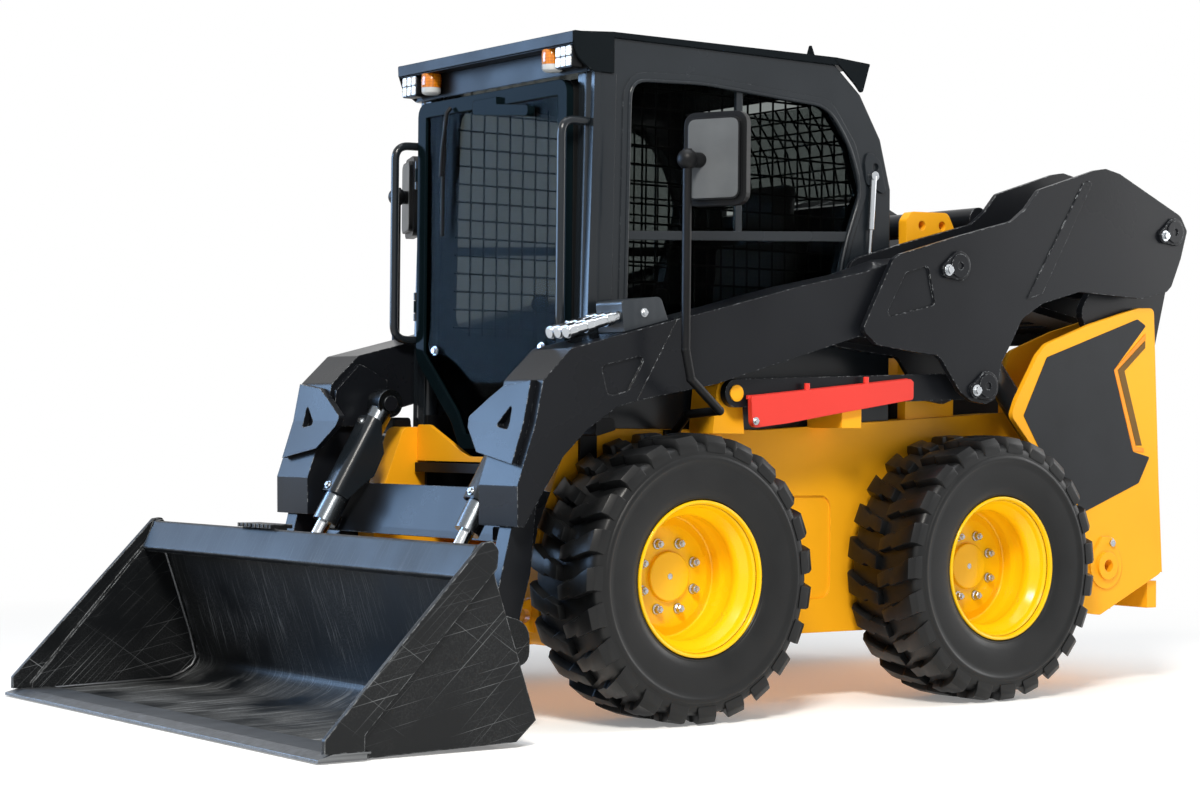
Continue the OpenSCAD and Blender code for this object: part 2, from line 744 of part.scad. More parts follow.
// Side plates of the arm's rear half, with a pressed pocket, a folded lobe and pin bosses.
module arm_plates() {
  color(dark)
    both() {
      difference() {
        union() {
          slab(arm_plate_outline, arm_out - arm_skin, arm_out);
          for (p = [pin_arm, pin_lug, pin_lift_eye])
            rod_y(p, 38, arm_out - 4, arm_out + 14);
          slab([[-870, 1290], [-800, 1270], [-1060, 1660], [-1110, 1675, 10]], arm_out - 4, arm_out + 4);
        }
        slab(rear_pocket, arm_out - pocket_depth, arm_out + 1);
        for (p = [pin_arm, pin_lug, pin_lift_eye])
          rod_y(p, 12, arm_out + 4, arm_out + 20);
      }
      slab(arm_plate_outline, arm_in, beam_in);
      rod_y(pin_arm, arm_pin_r, arm_in + 4, arm_out - 4);
    }
}

// Box beams of the arm with the tubes that tie the two sides together.
module arm_beams() {
  color(dark) {
    both() {
      slab(beam_outline, beam_in, beam_out);
      slab([[-290, 1340], [-225, 1355], [-115, 1150], [-170, 1125], [-290, 1118]], beam_in + 10, arm_out - arm_skin);
    }
    rod_y([-790, 1535], 42, -arm_in, arm_in);
    slab([[968, 660], [996, 666], [1052, 536, 8], [1062, 516], [1026, 512], [1026, 526]], -foot_in, foot_in);
    both()
      slab([[1010, 560], [1090, 560, 6], [1090, 520, 6], [1020, 514]], tilt_y + 55, foot_in);
  }
}

// Drop boxes at the arm's front, with a pressed pocket and the bracket of the hydraulic couplers.
module arm_fronts() {
  color(dark)
    both()
      difference() {
        slab(front_outline, drop_in, beam_out);
        slab(front_pocket, beam_out - pocket_depth, beam_out + 1);
      }
}

// Shoulder plates across the drop boxes, with their window, and the tilt cylinders' brackets and pins.
module arm_shoulders() {
  color(dark)
    both() {
      intersection() {
        slab([[1072.4, 975.3], [1092, 982], [1116.5, 858.5], [1160, 727], [1140.6, 727], [1096.4, 855.2]],
             cab_half - 120, beam_out - 30);
        difference() {
          wall([[beam_out - 30, 975], [beam_out - 160, 960], [cab_half - 20, 926], [cab_half - 108, 872, 10],
                [cab_half - 100, 842, 10], [cab_half - 20, 772], [beam_out - 30, 740]], 1050, 1180);
          wall([[foot_in + 8, 912, 8], [foot_in - 58, 846, 8], [foot_in + 10, 836, 8]], 1050, 1180);
        }
      }
      slab([[880, 880], [960, 842], [1080, 842, 10], [1066, 955], [980, 1040, 10], [880, 990]],
           drop_in - 20, drop_in);
      rod_y(pin_tilt_base, bucket_pin_r - 1, tilt_y - 38, drop_in - 6);
    }
}

// Feet below the drop boxes, bored for the bucket's pins.
module arm_feet() {
  color(dark)
    both()
      difference() {
        union() {
          slab([[1060.7, 675.8], [1131.7, 566.7], [1141, 566.7], [1219.5, 255], [1160, 210], [1100, 225],
                [1112, 310, 30], [1076, 437, 40], [1056, 675.8]], foot_in, foot_out);
          rod_y(pin_bucket, 62, foot_in, foot_out);
        }
        rod_y(pin_bucket, bucket_pin_r + fit, foot_in - 10, foot_out + 10);
      }
}

coupler_up = [760, 1168];
coupler_end = [962, 1112];

// Quick couplers for a tool's hoses, lying along the left arm.
module aux_couplers() {
  color(steel) {
    slab([[612, 1157.5], [770, 1118.3], [782, 1208, 10], [640, 1225, 20]], lift_y - 48, lift_y + 76);
    for (y = [lift_y - 26, lift_y + 14, lift_y + 54]) {
      rod([coupler_up[0], y, coupler_up[1]], [coupler_end[0], y, coupler_end[1]], 16);
      for (s = [0.2, 0.55, 0.85])
        rod([coupler_up[0] + s * 202, y, coupler_up[1] - s * 56],
            [coupler_up[0] + (s + 0.12) * 202, y, coupler_up[1] - (s + 0.12) * 56], 19);
    }
  }
}

module control_links() {
  color(black)
    both()
      difference() {
        bar(pin_control, pin_lug, 42, control_in, control_in + 24);
        rod_y(pin_control, bucket_pin_r + fit, control_in - 6, control_in + 34);
        rod_y(pin_lug, bucket_pin_r, control_in - 6, control_in + 34);
      }
}

lift_len = norm(pin_lift_eye - pin_lift_base);
tilt_len = norm(pin_tilt_eye - pin_tilt_base);

// Hydraulic barrel on its base pin, drawn along +X from that pin.
module barrel(r, rod_r, len, pin_r, y, half) {
  difference() {
    union() {
      translate([0, y + half, 0])
        rotate([90, 0, 0])
          cylinder(r = pin_r + 20, h = 2 * half);
      translate([pin_r + 6, y, 0])
        rotate([0, 90, 0])
          cylinder(r = r, h = len - pin_r - 6);
    }
    translate([0, y + half + 1, 0])
      rotate([90, 0, 0])
        cylinder(r = pin_r + fit, h = 2 * half + 2);
    translate([pin_r + 34, y, 0])
      rotate([0, 90, 0])
        cylinder(r = r - 7, h = len - pin_r - 34 - 60);
    translate([len - 61, y, 0])
      rotate([0, 90, 0])
        cylinder(r = rod_r + fit, h = 70);
  }
}

// Piston rod with its eye, drawn along +X from the base pin of its barrel.
module piston(rod_r, start, len, eye_r, y, half) {
  difference() {
    union() {
      translate([start, y, 0])
        rotate([0, 90, 0])
          cylinder(r = rod_r, h = len - start - 20);
      translate([len, y + half, 0])
        rotate([90, 0, 0])
          cylinder(r = eye_r, h = 2 * half);
    }
    translate([len, y + half + 1, 0])
      rotate([90, 0, 0])
        cylinder(r = eye_r - 18, h = 2 * half + 2);
  }
}

module lift_barrels() {
  color(black)
    both()
      along(pin_lift_base, pin_lift_eye)
        barrel(lift_barrel_r, lift_rod_r, lift_len - 206, link_pin_r - 4, lift_y, 32);
}

module lift_rods() {
  color(steel)
    both()
      along(pin_lift_base, pin_lift_eye)
        piston(lift_rod_r, 90, lift_len, 44, lift_y, 30);
}

module tilt_barrels() {
  color(steel)
    both()
      along(pin_tilt_base, pin_tilt_eye)
        barrel(tilt_barrel_r, tilt_rod_r, tilt_len - 166, bucket_pin_r - 1, tilt_y, 34);
}

// Folded plates over the tilt cylinders, clamped to the barrels.
module tilt_guards() {
  color(dark)
    both()
      along(pin_tilt_base, pin_tilt_eye) {
        brick(70, 340, tilt_y - 48, tilt_y + 48, tilt_barrel_r + seat_gap, tilt_barrel_r + 8);
        for (y = [tilt_y - 48, tilt_y + 41])
          brick(150, 340, y, y + 7, -20, tilt_barrel_r + 4);
      }
}

module tilt_rods() {
  color(steel)
    both()
      along(pin_tilt_base, pin_tilt_eye)
        piston(tilt_rod_r, 142, tilt_len, 40, tilt_y, 30);
}

// Bucket

side_out = bucket_half - cutter_t;
side_in = side_out - bucket_side;
rail = [[1405, 440], [1413, 524, 8], [1455, 538, 10], [1503, 452, 8], [1490, 440]];

// Bent floor and back, side plates, top rail with a step, and the side cutters.
module bucket_shell() {
  color(dark) {
    both() {
      slab([[1789, 24], [1870, 24], [1868, 40], [1480, 470], [1454, 536, 10], [1432, 541, 10], [1413, 524, 12],
            [1410, 457], [1273, 70], [1336, 16], [1789, 4.3]], side_in, side_out);
      slab([[1808, 24.3], [1925, 24.3], [1925, 60, 10], [1454, 542, 10], [1425, 546, 12], [1408, 520, 12],
            [1412, 474, 10], [1808, 66, 10]], side_out, bucket_half);
    }
    slab([[1336, 16], [1800, 4], [1800, 18], [1400, 28, 80], [1312, 62, 60], [1292, 90, 60], [1424, 460],
          [1410, 457], [1273, 70]], -side_in, side_in);
    slab(rail, -side_in, side_in);
    difference() {
      brick(1395, 1470, -350, -150, 538, 550);
      for (i = [0 : 7])
        brick(1462, 1480, -346 + i * 25, -334 + i * 25, 530, 560);
    }
    slab([[1413, 520], [1452, 534], [1452, 540], [1413, 540]], -350, -150);
  }
}

module cutting_edge() {
  color(steel)
    slab([[1790, 18.5], [1790, 24], [1900, 24], [edge_x, 12], [edge_x, 4], [1801, 4], [1801, 18.5]],
         -bucket_half, bucket_half);
}

clevis_in = tilt_y - 64;
clevis_out = tilt_y + 44;
ear_in = foot_in - 30;
ear_out = foot_out + 10;
ear_t = 20;

// Quick-attach plate on the bucket's back, with the ears for the arms and the tilt cylinders.
module coupler() {
  color(dark) {
    difference() {
      union() {
        slab([[1300.8, 150], [1405.2, 445], [1338, 457], [1234, 162]], -ear_out - 25, ear_out + 25);
        slab([[1405, 445], [1408.4, 482], [1394, 488, 6], [1338, 457]], -ear_out - 25, ear_out + 25);
      }
      both()
        brick(1200, 1400, tilt_y - 44, tilt_y + 44, 285, 500);
      slab([[1280, 190], [1366, 425], [1338, 457], [1220, 162]], -clevis_in + 50, clevis_in - 50);
    }
    both() {
      for (y = [ear_in, ear_out])
        slab([[1320, 405], [1236, 166], [1160, 176, 50], [1098, 190, 58], [1098, 300, 58], [1200, 330, 40]],
             y, y + ear_t);
      for (y = [clevis_in, clevis_out])
        slab([[1339, 457], [1284, 304], [1215, 345, 40], [1180, 390, 40], [1215, 450, 40]], y, y + ear_t);
      rod_y(pin_bucket, bucket_pin_r, ear_in, ear_out + ear_t);
    }
  }
}

// Wheels

tread_half = tyre_w / 2 - 8;
guard_r = tyre_r - 66;
bead_half = 119.5;
bore_r = (rim_r + 4) / cos(45 / lug_count);
tread_turn = 8;

// Angle of one of the four stations of each lug.
function station(i) = (floor(i / 4) + [0, 0.38, 0.5, 0.88][i % 4]) * 360 / lug_count;

// One ring of the tyre's skin; a lug is drawn where the station lies in the given half of its pitch.
function skin_ring(y, low, high, half, twist) =
  [for (i = [0 : 4 * lug_count - 1])
    let (r = floor((i % 4) / 2) == half ? high : low,
         a = station(i) + twist)
    [r * cos(a), y, r * sin(a)]];

// Tyre with two rows of lugs that meet in a chevron, made as one skin of rings.
module tyre() {
  tread_r = tyre_r - lug_h;
  rings = [skin_ring(-bead_half, bore_r, bore_r, 0, tread_turn),
           skin_ring(-tyre_w / 2, guard_r, guard_r, 0, tread_turn),
           skin_ring(-tread_half, tread_r - 6, tyre_r - 4, 0, tread_turn),
           skin_ring(-10, tread_r, tyre_r, 0, 0),
           skin_ring(10, tread_r, tyre_r, 1, 0),
           skin_ring(tread_half, tread_r - 6, tyre_r - 4, 1, tread_turn),
           skin_ring(tyre_w / 2, guard_r, guard_r, 0, tread_turn),
           skin_ring(bead_half, bore_r, bore_r, 0, tread_turn)];
  n = 4 * lug_count;
  m = len(rings);
  color(black)
    polyhedron(points = [for (ring = rings) each ring],
               faces = [for (k = [0 : m - 1], i = [0 : n - 1])
                          let (a = k * n + i, b = k * n + (i + 1) % n,
                               c = ((k + 1) % m) * n + (i + 1) % n, d = ((k + 1) % m) * n + i)
                          each [[a, b, c], [a, c, d]]]);
}

// Deep-dished wheel for the left side: the disc lies inboard and a cap closes its bore.
module rim() {
  color(yellow)
    rotate([90, 0, 0])
      rotate_extrude()
        polygon([[rim_r + 15, -134], [rim_r + 15, -122.8], [rim_r + 3.7, -120.2], [rim_r + 3.7, -99], [rim_r - 20, -70],
                 [rim_r - 20, 70], [rim_r + 3.7, 99], [rim_r + 3.7, 120.2], [rim_r + 15, 122.8], [rim_r + 15, 134],
                 [rim_r - 6, 132], [rim_r - 6, 98], [rim_r - 30, 66], [rim_r - 60, 48], [spindle_r + fit, 48],
                 [spindle_r + fit, 28 - seat_gap], [0, 28 - seat_gap], [0, 14], [spindle_r + 24, 14],
                 [spindle_r + 27, 17], [spindle_r + 27, 28], [rim_r - 62, 28], [rim_r - 30, 40], [rim_r - 30, 10],
                 [rim_r - 24, -8], [rim_r - 24, -40], [rim_r - 30, -66], [rim_r - 6, -98], [rim_r - 6, -132]]);
}

module wheel_at(x, side) {
  translate([x, side * wheel_y, wheel_z])
    mirror([0, side < 0 ? 1 : 0, 0])
      children();
}

module tyre_front_left() { wheel_at(wheelbase / 2, 1) tyre(); }
module tyre_front_right() { wheel_at(wheelbase / 2, -1) tyre(); }
module tyre_rear_left() { wheel_at(-wheelbase / 2, 1) tyre(); }
module tyre_rear_right() { wheel_at(-wheelbase / 2, -1) tyre(); }
module rim_front_left() { wheel_at(wheelbase / 2, 1) rim(); }
module rim_front_right() { wheel_at(wheelbase / 2, -1) rim(); }
module rim_rear_left() { wheel_at(-wheelbase / 2, 1) rim(); }
module rim_rear_right() { wheel_at(-wheelbase / 2, -1) rim(); }

translate([-origin_x, 0, 0]) {
  main_frame();
  chain_cases();
  rear_towers();
  arm_stops();
  lift_strut();
  engine();
  engine_hood();
  cab_frame();
  cab_roof();
  cab_floor();
  cab_glass();
  side_grilles();
  seat();
  controls();
  work_lamps();
  amber_lamps();
  grab_handles();
  mirrors();
  gas_struts();
  tail_lamps();
  door_frame();
  door_glass();
  tailgate();
  tailgate_grille();
  rear_links();
  arm_plates();
  arm_beams();
  arm_fronts();
  arm_shoulders();
  arm_feet();
  aux_couplers();
  control_links();
  lift_barrels();
  lift_rods();
  tilt_barrels();
  tilt_guards();
  tilt_rods();
  bucket_shell();
  cutting_edge();
  coupler();
  tyre_front_left();
  tyre_front_right();
  tyre_rear_left();
  tyre_rear_right();
  rim_front_left();
  rim_front_right();
  rim_rear_left();
  rim_rear_right();
}
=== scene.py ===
import math

import bmesh
import bpy
from mathutils import Matrix, Vector


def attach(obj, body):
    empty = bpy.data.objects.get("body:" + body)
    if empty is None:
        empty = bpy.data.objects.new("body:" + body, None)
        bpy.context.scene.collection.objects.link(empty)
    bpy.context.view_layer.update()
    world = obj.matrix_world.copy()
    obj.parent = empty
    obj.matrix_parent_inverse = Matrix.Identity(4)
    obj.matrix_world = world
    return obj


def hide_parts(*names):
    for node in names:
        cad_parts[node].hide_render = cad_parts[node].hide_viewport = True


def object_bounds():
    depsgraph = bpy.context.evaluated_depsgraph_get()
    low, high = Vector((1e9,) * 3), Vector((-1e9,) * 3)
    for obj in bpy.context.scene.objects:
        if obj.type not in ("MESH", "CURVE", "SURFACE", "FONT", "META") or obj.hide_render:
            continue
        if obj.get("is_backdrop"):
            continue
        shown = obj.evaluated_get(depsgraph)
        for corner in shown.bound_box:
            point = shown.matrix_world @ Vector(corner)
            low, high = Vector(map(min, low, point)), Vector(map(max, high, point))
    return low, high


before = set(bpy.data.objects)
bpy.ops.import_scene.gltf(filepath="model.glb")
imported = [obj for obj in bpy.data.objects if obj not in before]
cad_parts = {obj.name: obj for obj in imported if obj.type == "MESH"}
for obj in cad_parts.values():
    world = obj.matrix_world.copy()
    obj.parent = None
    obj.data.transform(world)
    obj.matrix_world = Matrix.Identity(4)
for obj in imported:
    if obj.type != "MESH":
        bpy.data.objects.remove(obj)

cad_box = [list(corner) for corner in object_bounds()]

# Camera: a long lens at the height of the bonnet, off the machine's front left corner,
# rolled a little about its own axis.
camera_at = Vector((4.9315, 6.396, 0.837))
camera_yaw = math.radians(36.54)
camera_pitch = math.radians(0.685)
camera_roll = math.radians(0.52)
focal_mm = 75.71
sensor_mm = 36.0
ahead = Vector((-math.sin(camera_yaw) * math.cos(camera_pitch),
                -math.cos(camera_yaw) * math.cos(camera_pitch),
                math.sin(camera_pitch)))
level = ahead.cross(Vector((0, 0, 1))).normalized()
upright = level.cross(ahead)
across = math.cos(camera_roll) * level + math.sin(camera_roll) * upright
upward = math.cos(camera_roll) * upright - math.sin(camera_roll) * level
lens = bpy.data.cameras.new("camera")
lens.sensor_width = sensor_mm
lens.lens = focal_mm
lens.clip_end = 200.0
camera = bpy.data.objects.new("camera", lens)
camera.matrix_world = Matrix((
    (across.x, upward.x, -ahead.x, camera_at.x),
    (across.y, upward.y, -ahead.y, camera_at.y),
    (across.z, upward.z, -ahead.z, camera_at.z),
    (0, 0, 0, 1)))
bpy.context.collection.objects.link(camera)
bpy.context.scene.camera = camera
bpy.context.scene.view_settings.view_transform = "Standard"


# Studio: a pale floor that fades into a white surround, a large soft key from the left front,
# a cool panel off the right front that the dark paint mirrors, and soft lamps overhead and behind.
def tint(code):
    channels = [int(code[i:i + 2], 16) / 255 for i in (1, 3, 5)]
    return (*[c / 12.92 if c <= 0.04045 else ((c + 0.055) / 1.055) ** 2.4 for c in channels], 1.0)


def add(tree, kind, feeds=None, **settings):
    node = tree.nodes.new(kind)
    for key, value in settings.items():
        setattr(node, key, value)
    for socket, source in (feeds or {}).items():
        if isinstance(source, bpy.types.Node):
            source = source.outputs[0]
        if isinstance(source, bpy.types.NodeSocket):
            tree.links.new(source, node.inputs[socket])
        else:
            node.inputs[socket].default_value = source
    return node


def new_finish(name):
    finish = bpy.data.materials.new(name)
    finish.use_nodes = True
    tree = finish.node_tree
    tree.nodes.clear()
    return finish, tree, add(tree, "ShaderNodeTexCoord").outputs["Object"]


def seen_directly(tree):
    ray = add(tree, "ShaderNodeLightPath")
    either = add(tree, "ShaderNodeMath", {
        0: ray.outputs["Is Camera Ray"], 1: ray.outputs["Is Transmission Ray"]}, operation="MAXIMUM")
    return add(tree, "ShaderNodeMath", {0: either, 1: ray.outputs["Is Glossy Ray"]}, operation="MAXIMUM")


pure_white = (1, 1, 1, 1)
world = bpy.data.worlds.new("studio")
world.use_nodes = True
surround = world.node_tree
surround.nodes.clear()
ambient = add(surround, "ShaderNodeBackground", {"Color": tint("#E4EAF0"), "Strength": 0.36})
white = add(surround, "ShaderNodeBackground", {"Color": pure_white, "Strength": 1.0})
seen = add(surround, "ShaderNodeMixShader", {0: seen_directly(surround), 1: ambient, 2: white})
add(surround, "ShaderNodeOutputWorld", {"Surface": seen})
bpy.context.scene.world = world

floor_half = 30
fade_from, fade_to = 1.5, 5.0
floor_paint, tree, place = new_finish("matt_studio_floor")
matt = add(tree, "ShaderNodeBsdfPrincipled", {"Base Color": tint("#F4F4F2"), "Roughness": 0.9})
glow = add(tree, "ShaderNodeEmission", {"Color": pure_white, "Strength": 0.2})
reach = add(tree, "ShaderNodeVectorMath", {0: place}, operation="LENGTH")
fade = add(tree, "ShaderNodeMapRange", {
    "Value": reach.outputs["Value"], "From Min": fade_from, "From Max": fade_to})
faded = add(tree, "ShaderNodeMath", {0: fade, 1: seen_directly(tree)}, operation="MULTIPLY")
blank = add(tree, "ShaderNodeEmission", {"Color": pure_white, "Strength": 1.0})
lit = add(tree, "ShaderNodeAddShader", {0: matt, 1: glow})
mixed = add(tree, "ShaderNodeMixShader", {0: faded, 1: lit, 2: blank})
add(tree, "ShaderNodeOutputMaterial", {"Surface": mixed})
floor_mesh = bpy.data.meshes.new("floor")
floor_mesh.from_pydata([(floor_half * x, floor_half * y, 0) for x, y in ((-1, -1), (1, -1), (1, 1), (-1, 1))],
                       [], [(0, 1, 2, 3)])
floor_mesh.materials.append(floor_paint)
floor = bpy.data.objects.new("floor", floor_mesh)
bpy.context.collection.objects.link(floor)
floor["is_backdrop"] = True

for name, place_at, aim, size, power, colour, mirrored_only in (
        ("key", (4.2, 5.0, 6.2), (0, 0.2, 0.8), (1.7, 1.7), 640, "#FFFAF2", False),
        ("front_panel", (5.4, -5.0, 2.8), (0.6, 0, 0.8), (4.5, 3.5), 820, "#8FB8E8", True),
        ("overhead", (0.0, 0.5, 6.5), (0, 0, 0.5), (4.0, 4.0), 150, "#F4F8FF", False),
        ("back_fill", (-5.5, 2.5, 2.5), (-0.5, 0, 0.8), (3.0, 3.0), 90, "#FFFFFF", False)):
    lamp = bpy.data.lights.new(name, "AREA")
    lamp.shape = "RECTANGLE"
    lamp.size, lamp.size_y = size
    lamp.energy = power
    lamp.color = tint(colour)[:3]
    stand = bpy.data.objects.new(name, lamp)
    stand.location = place_at
    stand.rotation_euler = (Vector(aim) - Vector(place_at)).to_track_quat("-Z", "Y").to_euler()
    stand.visible_diffuse = not mirrored_only
    bpy.context.collection.objects.link(stand)


# Painted steel: enamel sprayed over plate. It has a faint orange peel, a slow drift of shade,
# rounded edges, and bare bright chips where an edge has been knocked.
noise_span = {"From Min": 0.3, "From Max": 0.7}


def shade_with(tree, feeds):
    shader = add(tree, "ShaderNodeBsdfPrincipled", feeds)
    add(tree, "ShaderNodeOutputMaterial", {"Surface": shader})


def drifting(tree, pattern, colour, pale, rough):
    paler = add(tree, "ShaderNodeMapRange", {
        **noise_span, "Value": pattern, "To Min": pale[0], "To Max": pale[1]})
    dull = add(tree, "ShaderNodeMapRange", {
        **noise_span, "Value": pattern, "To Min": rough[0], "To Max": rough[1]})
    return add(tree, "ShaderNodeVectorMath", {0: tint(colour)[:3], 3: paler}, operation="SCALE"), dull


def enamel(name, colour, roughness, gloss, chips, chip_colour="#8E949A", peel=0.06, drift=0.12):
    finish, tree, place = new_finish(name)
    peel_mm, drift_mm, chip_mm, edge_mm = 7, 420, 14, 4
    skin = add(tree, "ShaderNodeTexNoise", {"Vector": place, "Scale": 1000 / peel_mm, "Detail": 3.0})
    shade = add(tree, "ShaderNodeTexNoise", {"Vector": place, "Scale": 1000 / drift_mm, "Detail": 5.0})
    flakes = add(tree, "ShaderNodeTexNoise", {
        "Vector": place, "Scale": 1000 / chip_mm, "Detail": 6.0, "Roughness": 0.7})
    rounding = add(tree, "ShaderNodeBevel", {"Radius": edge_mm / 1000}, samples=4)
    flat = add(tree, "ShaderNodeNewGeometry").outputs["True Normal"]
    facing = add(tree, "ShaderNodeVectorMath", {0: rounding, 1: flat}, operation="DOT_PRODUCT")
    edge = add(tree, "ShaderNodeMapRange", {
        "Value": facing.outputs["Value"], "From Min": 0.995, "From Max": 0.90})
    knocked = add(tree, "ShaderNodeMapRange", {
        "Value": flakes, "From Min": 0.60 - 0.1 * chips, "From Max": 0.66 - 0.1 * chips})
    rubbed = add(tree, "ShaderNodeMath", {0: edge, 1: knocked}, operation="MULTIPLY")
    bare = add(tree, "ShaderNodeMath", {0: rubbed, 1: chips}, operation="MULTIPLY")
    coat, dull = drifting(tree, shade, colour, (1 - drift, 1 + drift), (roughness - 0.05, roughness + 0.07))
    base = add(tree, "ShaderNodeMix", {0: bare, 6: coat, 7: tint(chip_colour)}, data_type="RGBA")
    surface = add(tree, "ShaderNodeBump", {
        "Strength": peel, "Distance": 0.001, "Height": skin, "Normal": rounding})
    shade_with(tree, {"Base Color": base.outputs[2], "Roughness": dull, "Normal": surface,
                      "Specular IOR Level": gloss})
    return finish


def dress(finish, *nodes):
    for node in nodes:
        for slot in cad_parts[node].material_slots:
            slot.material = finish


yellow_enamel = enamel("yellow_enamel_on_steel", "#F9AE1A", roughness=0.36, gloss=0.22, chips=0.35,
                       chip_colour="#B98A2A", drift=0.05)
dress(yellow_enamel, "main_frame", "chain_cases", "rear_towers", "tailgate")
charcoal_enamel = enamel("charcoal_enamel_on_steel", "#14161A", roughness=0.3, gloss=0.16, chips=0.8,
                         chip_colour="#A9AEB2")
dress(charcoal_enamel, "engine_hood", "rear_links", "arm_plates", "arm_beams", "arm_fronts",
      "arm_shoulders", "arm_feet", "control_links")
cab_enamel = enamel("cab_grey_enamel_on_steel", "#1C2126", roughness=0.22, gloss=0.3, chips=0.25)
dress(cab_enamel, "cab_frame")
roof_enamel = enamel("charcoal_enamel_on_roof", "#15191C", roughness=0.32, gloss=0.012, chips=0.2,
                     chip_colour="#8B9094")
dress(roof_enamel, "cab_roof")
rim_enamel = enamel("bright_yellow_rim_enamel", "#F8C30C", roughness=0.22, gloss=0.35, chips=0.2,
                    chip_colour="#C9A030", drift=0.04)
red_enamel = enamel("signal_red_enamel", "#DF3A30", roughness=0.35, gloss=0.3, chips=0.2,
                    chip_colour="#8A3028", drift=0.05)
dress(red_enamel, "lift_strut")
barrel_enamel = enamel("gunmetal_cylinder_enamel", "#2E3337", roughness=0.2, gloss=0.5, chips=0.2)
dress(barrel_enamel, "lift_barrels")
engine_enamel = enamel("cast_iron_block_paint", "#25272A", roughness=0.6, gloss=0.3, chips=0.3, peel=0.3)
dress(engine_enamel, "engine")


# Mouldings: black plastic and rubber, pressed in a grained mould. The grain keeps them dull, and
# slow clouds of wear make them paler in places.
def moulding(name, colour, roughness, grain_mm, depth):
    finish, tree, place = new_finish(name)
    cloud_mm, edge_mm = 160, 3
    grain = add(tree, "ShaderNodeTexVoronoi", {"Vector": place, "Scale": 1000 / grain_mm})
    cloud = add(tree, "ShaderNodeTexNoise", {"Vector": place, "Scale": 1000 / cloud_mm, "Detail": 4.0})
    rounding = add(tree, "ShaderNodeBevel", {"Radius": edge_mm / 1000}, samples=4)
    base, dull = drifting(tree, cloud, colour, (0.85, 1.2), (roughness - 0.06, roughness + 0.06))
    surface = add(tree, "ShaderNodeBump", {
        "Strength": depth, "Distance": 0.0006, "Height": grain.outputs["Distance"], "Normal": rounding})
    shade_with(tree, {"Base Color": base, "Roughness": dull, "Normal": surface, "Specular IOR Level": 0.16})
    return finish


black_plastic = moulding("grained_black_moulding", "#0E0F11", roughness=0.42, grain_mm=4, depth=0.25)
dress(black_plastic, "arm_stops", "cab_floor", "controls", "mirrors", "tailgate_grille")


# Bare metal: hard chrome on the piston rods, ground steel on the tilt barrels, zinc on nuts and
# bolts, and worn steel on the cutting edge, drawn out along the way the soil runs.
def bare_metal(name, colour, roughness, streak_mm, along, strength):
    finish, tree, place = new_finish(name)
    edge_mm = 2
    pull = tuple(1000 / streak_mm * (0.03 if axis == along else 1.0) for axis in "xyz")
    stretched = add(tree, "ShaderNodeMapping", {"Vector": place, "Scale": pull})
    marks = add(tree, "ShaderNodeTexNoise", {"Vector": stretched, "Scale": 1.0, "Detail": 4.0})
    rounding = add(tree, "ShaderNodeBevel", {"Radius": edge_mm / 1000}, samples=4)
    base, dull = drifting(tree, marks, colour, (1 - strength, 1 + strength),
                          (roughness * 0.9, roughness * 1.15))
    surface = add(tree, "ShaderNodeBump", {
        "Strength": strength * 0.1, "Distance": 0.0004, "Height": marks, "Normal": rounding})
    shade_with(tree, {"Base Color": base, "Metallic": 1.0, "Roughness": dull, "Normal": surface})
    return finish


hard_chrome = bare_metal("hard_chrome_plate", "#C4C8CC", 0.12, streak_mm=3, along="y", strength=0.05)
dress(hard_chrome, "lift_rods", "tilt_rods")
tilt_steel = bare_metal("ground_cylinder_steel", "#6F757A", 0.24, streak_mm=4, along="y", strength=0.08)
dress(tilt_steel, "tilt_barrels")
worn_steel = bare_metal("soil_worn_steel", "#6E7072", 0.42, streak_mm=5, along="x", strength=0.35)
dress(worn_steel, "cutting_edge")
zinc_steel = bare_metal("ground_zinc_steel", "#B9BDC1", 0.25, streak_mm=2, along="y", strength=0.12)


# Bucket: abrasion-proof plate in thin graphite paint. Gravel has scoured it along the way the
# load slides, most of all low down, and dust lies on its floor. Each layer of scratches is its
# lean, its sweep, a length in mm and the limits of noise between which a stroke comes out.
def scratches(tree, place, stroke_mm, deep_mm, layers):
    found = None
    for lean, sweep, long_mm, low, high in layers:
        turned = add(tree, "ShaderNodeMapping", {
            "Vector": place, "Rotation": (0.0, lean, sweep),
            "Scale": (long_mm / 1000, stroke_mm / 1000, deep_mm / 1000)}, vector_type="TEXTURE")
        marks = add(tree, "ShaderNodeTexNoise", {"Vector": turned, "Scale": 1.0, "Detail": 1.0})
        stroke = add(tree, "ShaderNodeMapRange", {"Value": marks, "From Min": low, "From Max": high})
        found = stroke if found is None else add(
            tree, "ShaderNodeMath", {0: found, 1: stroke}, operation="MAXIMUM")
    return found


bucket_paint, tree, place = new_finish("scoured_graphite_paint")
patch_mm, chip_mm, dust_mm, edge_mm = 260, 22, 5, 5
rounding = add(tree, "ShaderNodeBevel", {"Radius": edge_mm / 1000}, samples=4)
flat = add(tree, "ShaderNodeNewGeometry").outputs["True Normal"]
faces = add(tree, "ShaderNodeSeparateXYZ", {0: flat})
sideways = add(tree, "ShaderNodeMath", {0: faces.outputs["Y"]}, operation="ABSOLUTE")
is_side = add(tree, "ShaderNodeMapRange", {"Value": sideways, "From Min": 0.5, "From Max": 0.6})
is_floor = add(tree, "ShaderNodeMapRange", {"Value": faces.outputs["Z"], "From Min": 0.3, "From Max": 0.95})
on_sides = scratches(tree, place, 2.4, 2.4, (
    (0.75, 0.0, 900, 0.70, 0.76), (0.2, 0.0, 700, 0.70, 0.77), (-0.6, 0.0, 600, 0.72, 0.78)))
on_floor = scratches(tree, place, 4, 150, (
    (0.0, 0.04, 900, 0.66, 0.74), (0.0, -0.15, 700, 0.67, 0.74), (0.0, 0.4, 500, 0.68, 0.75)))
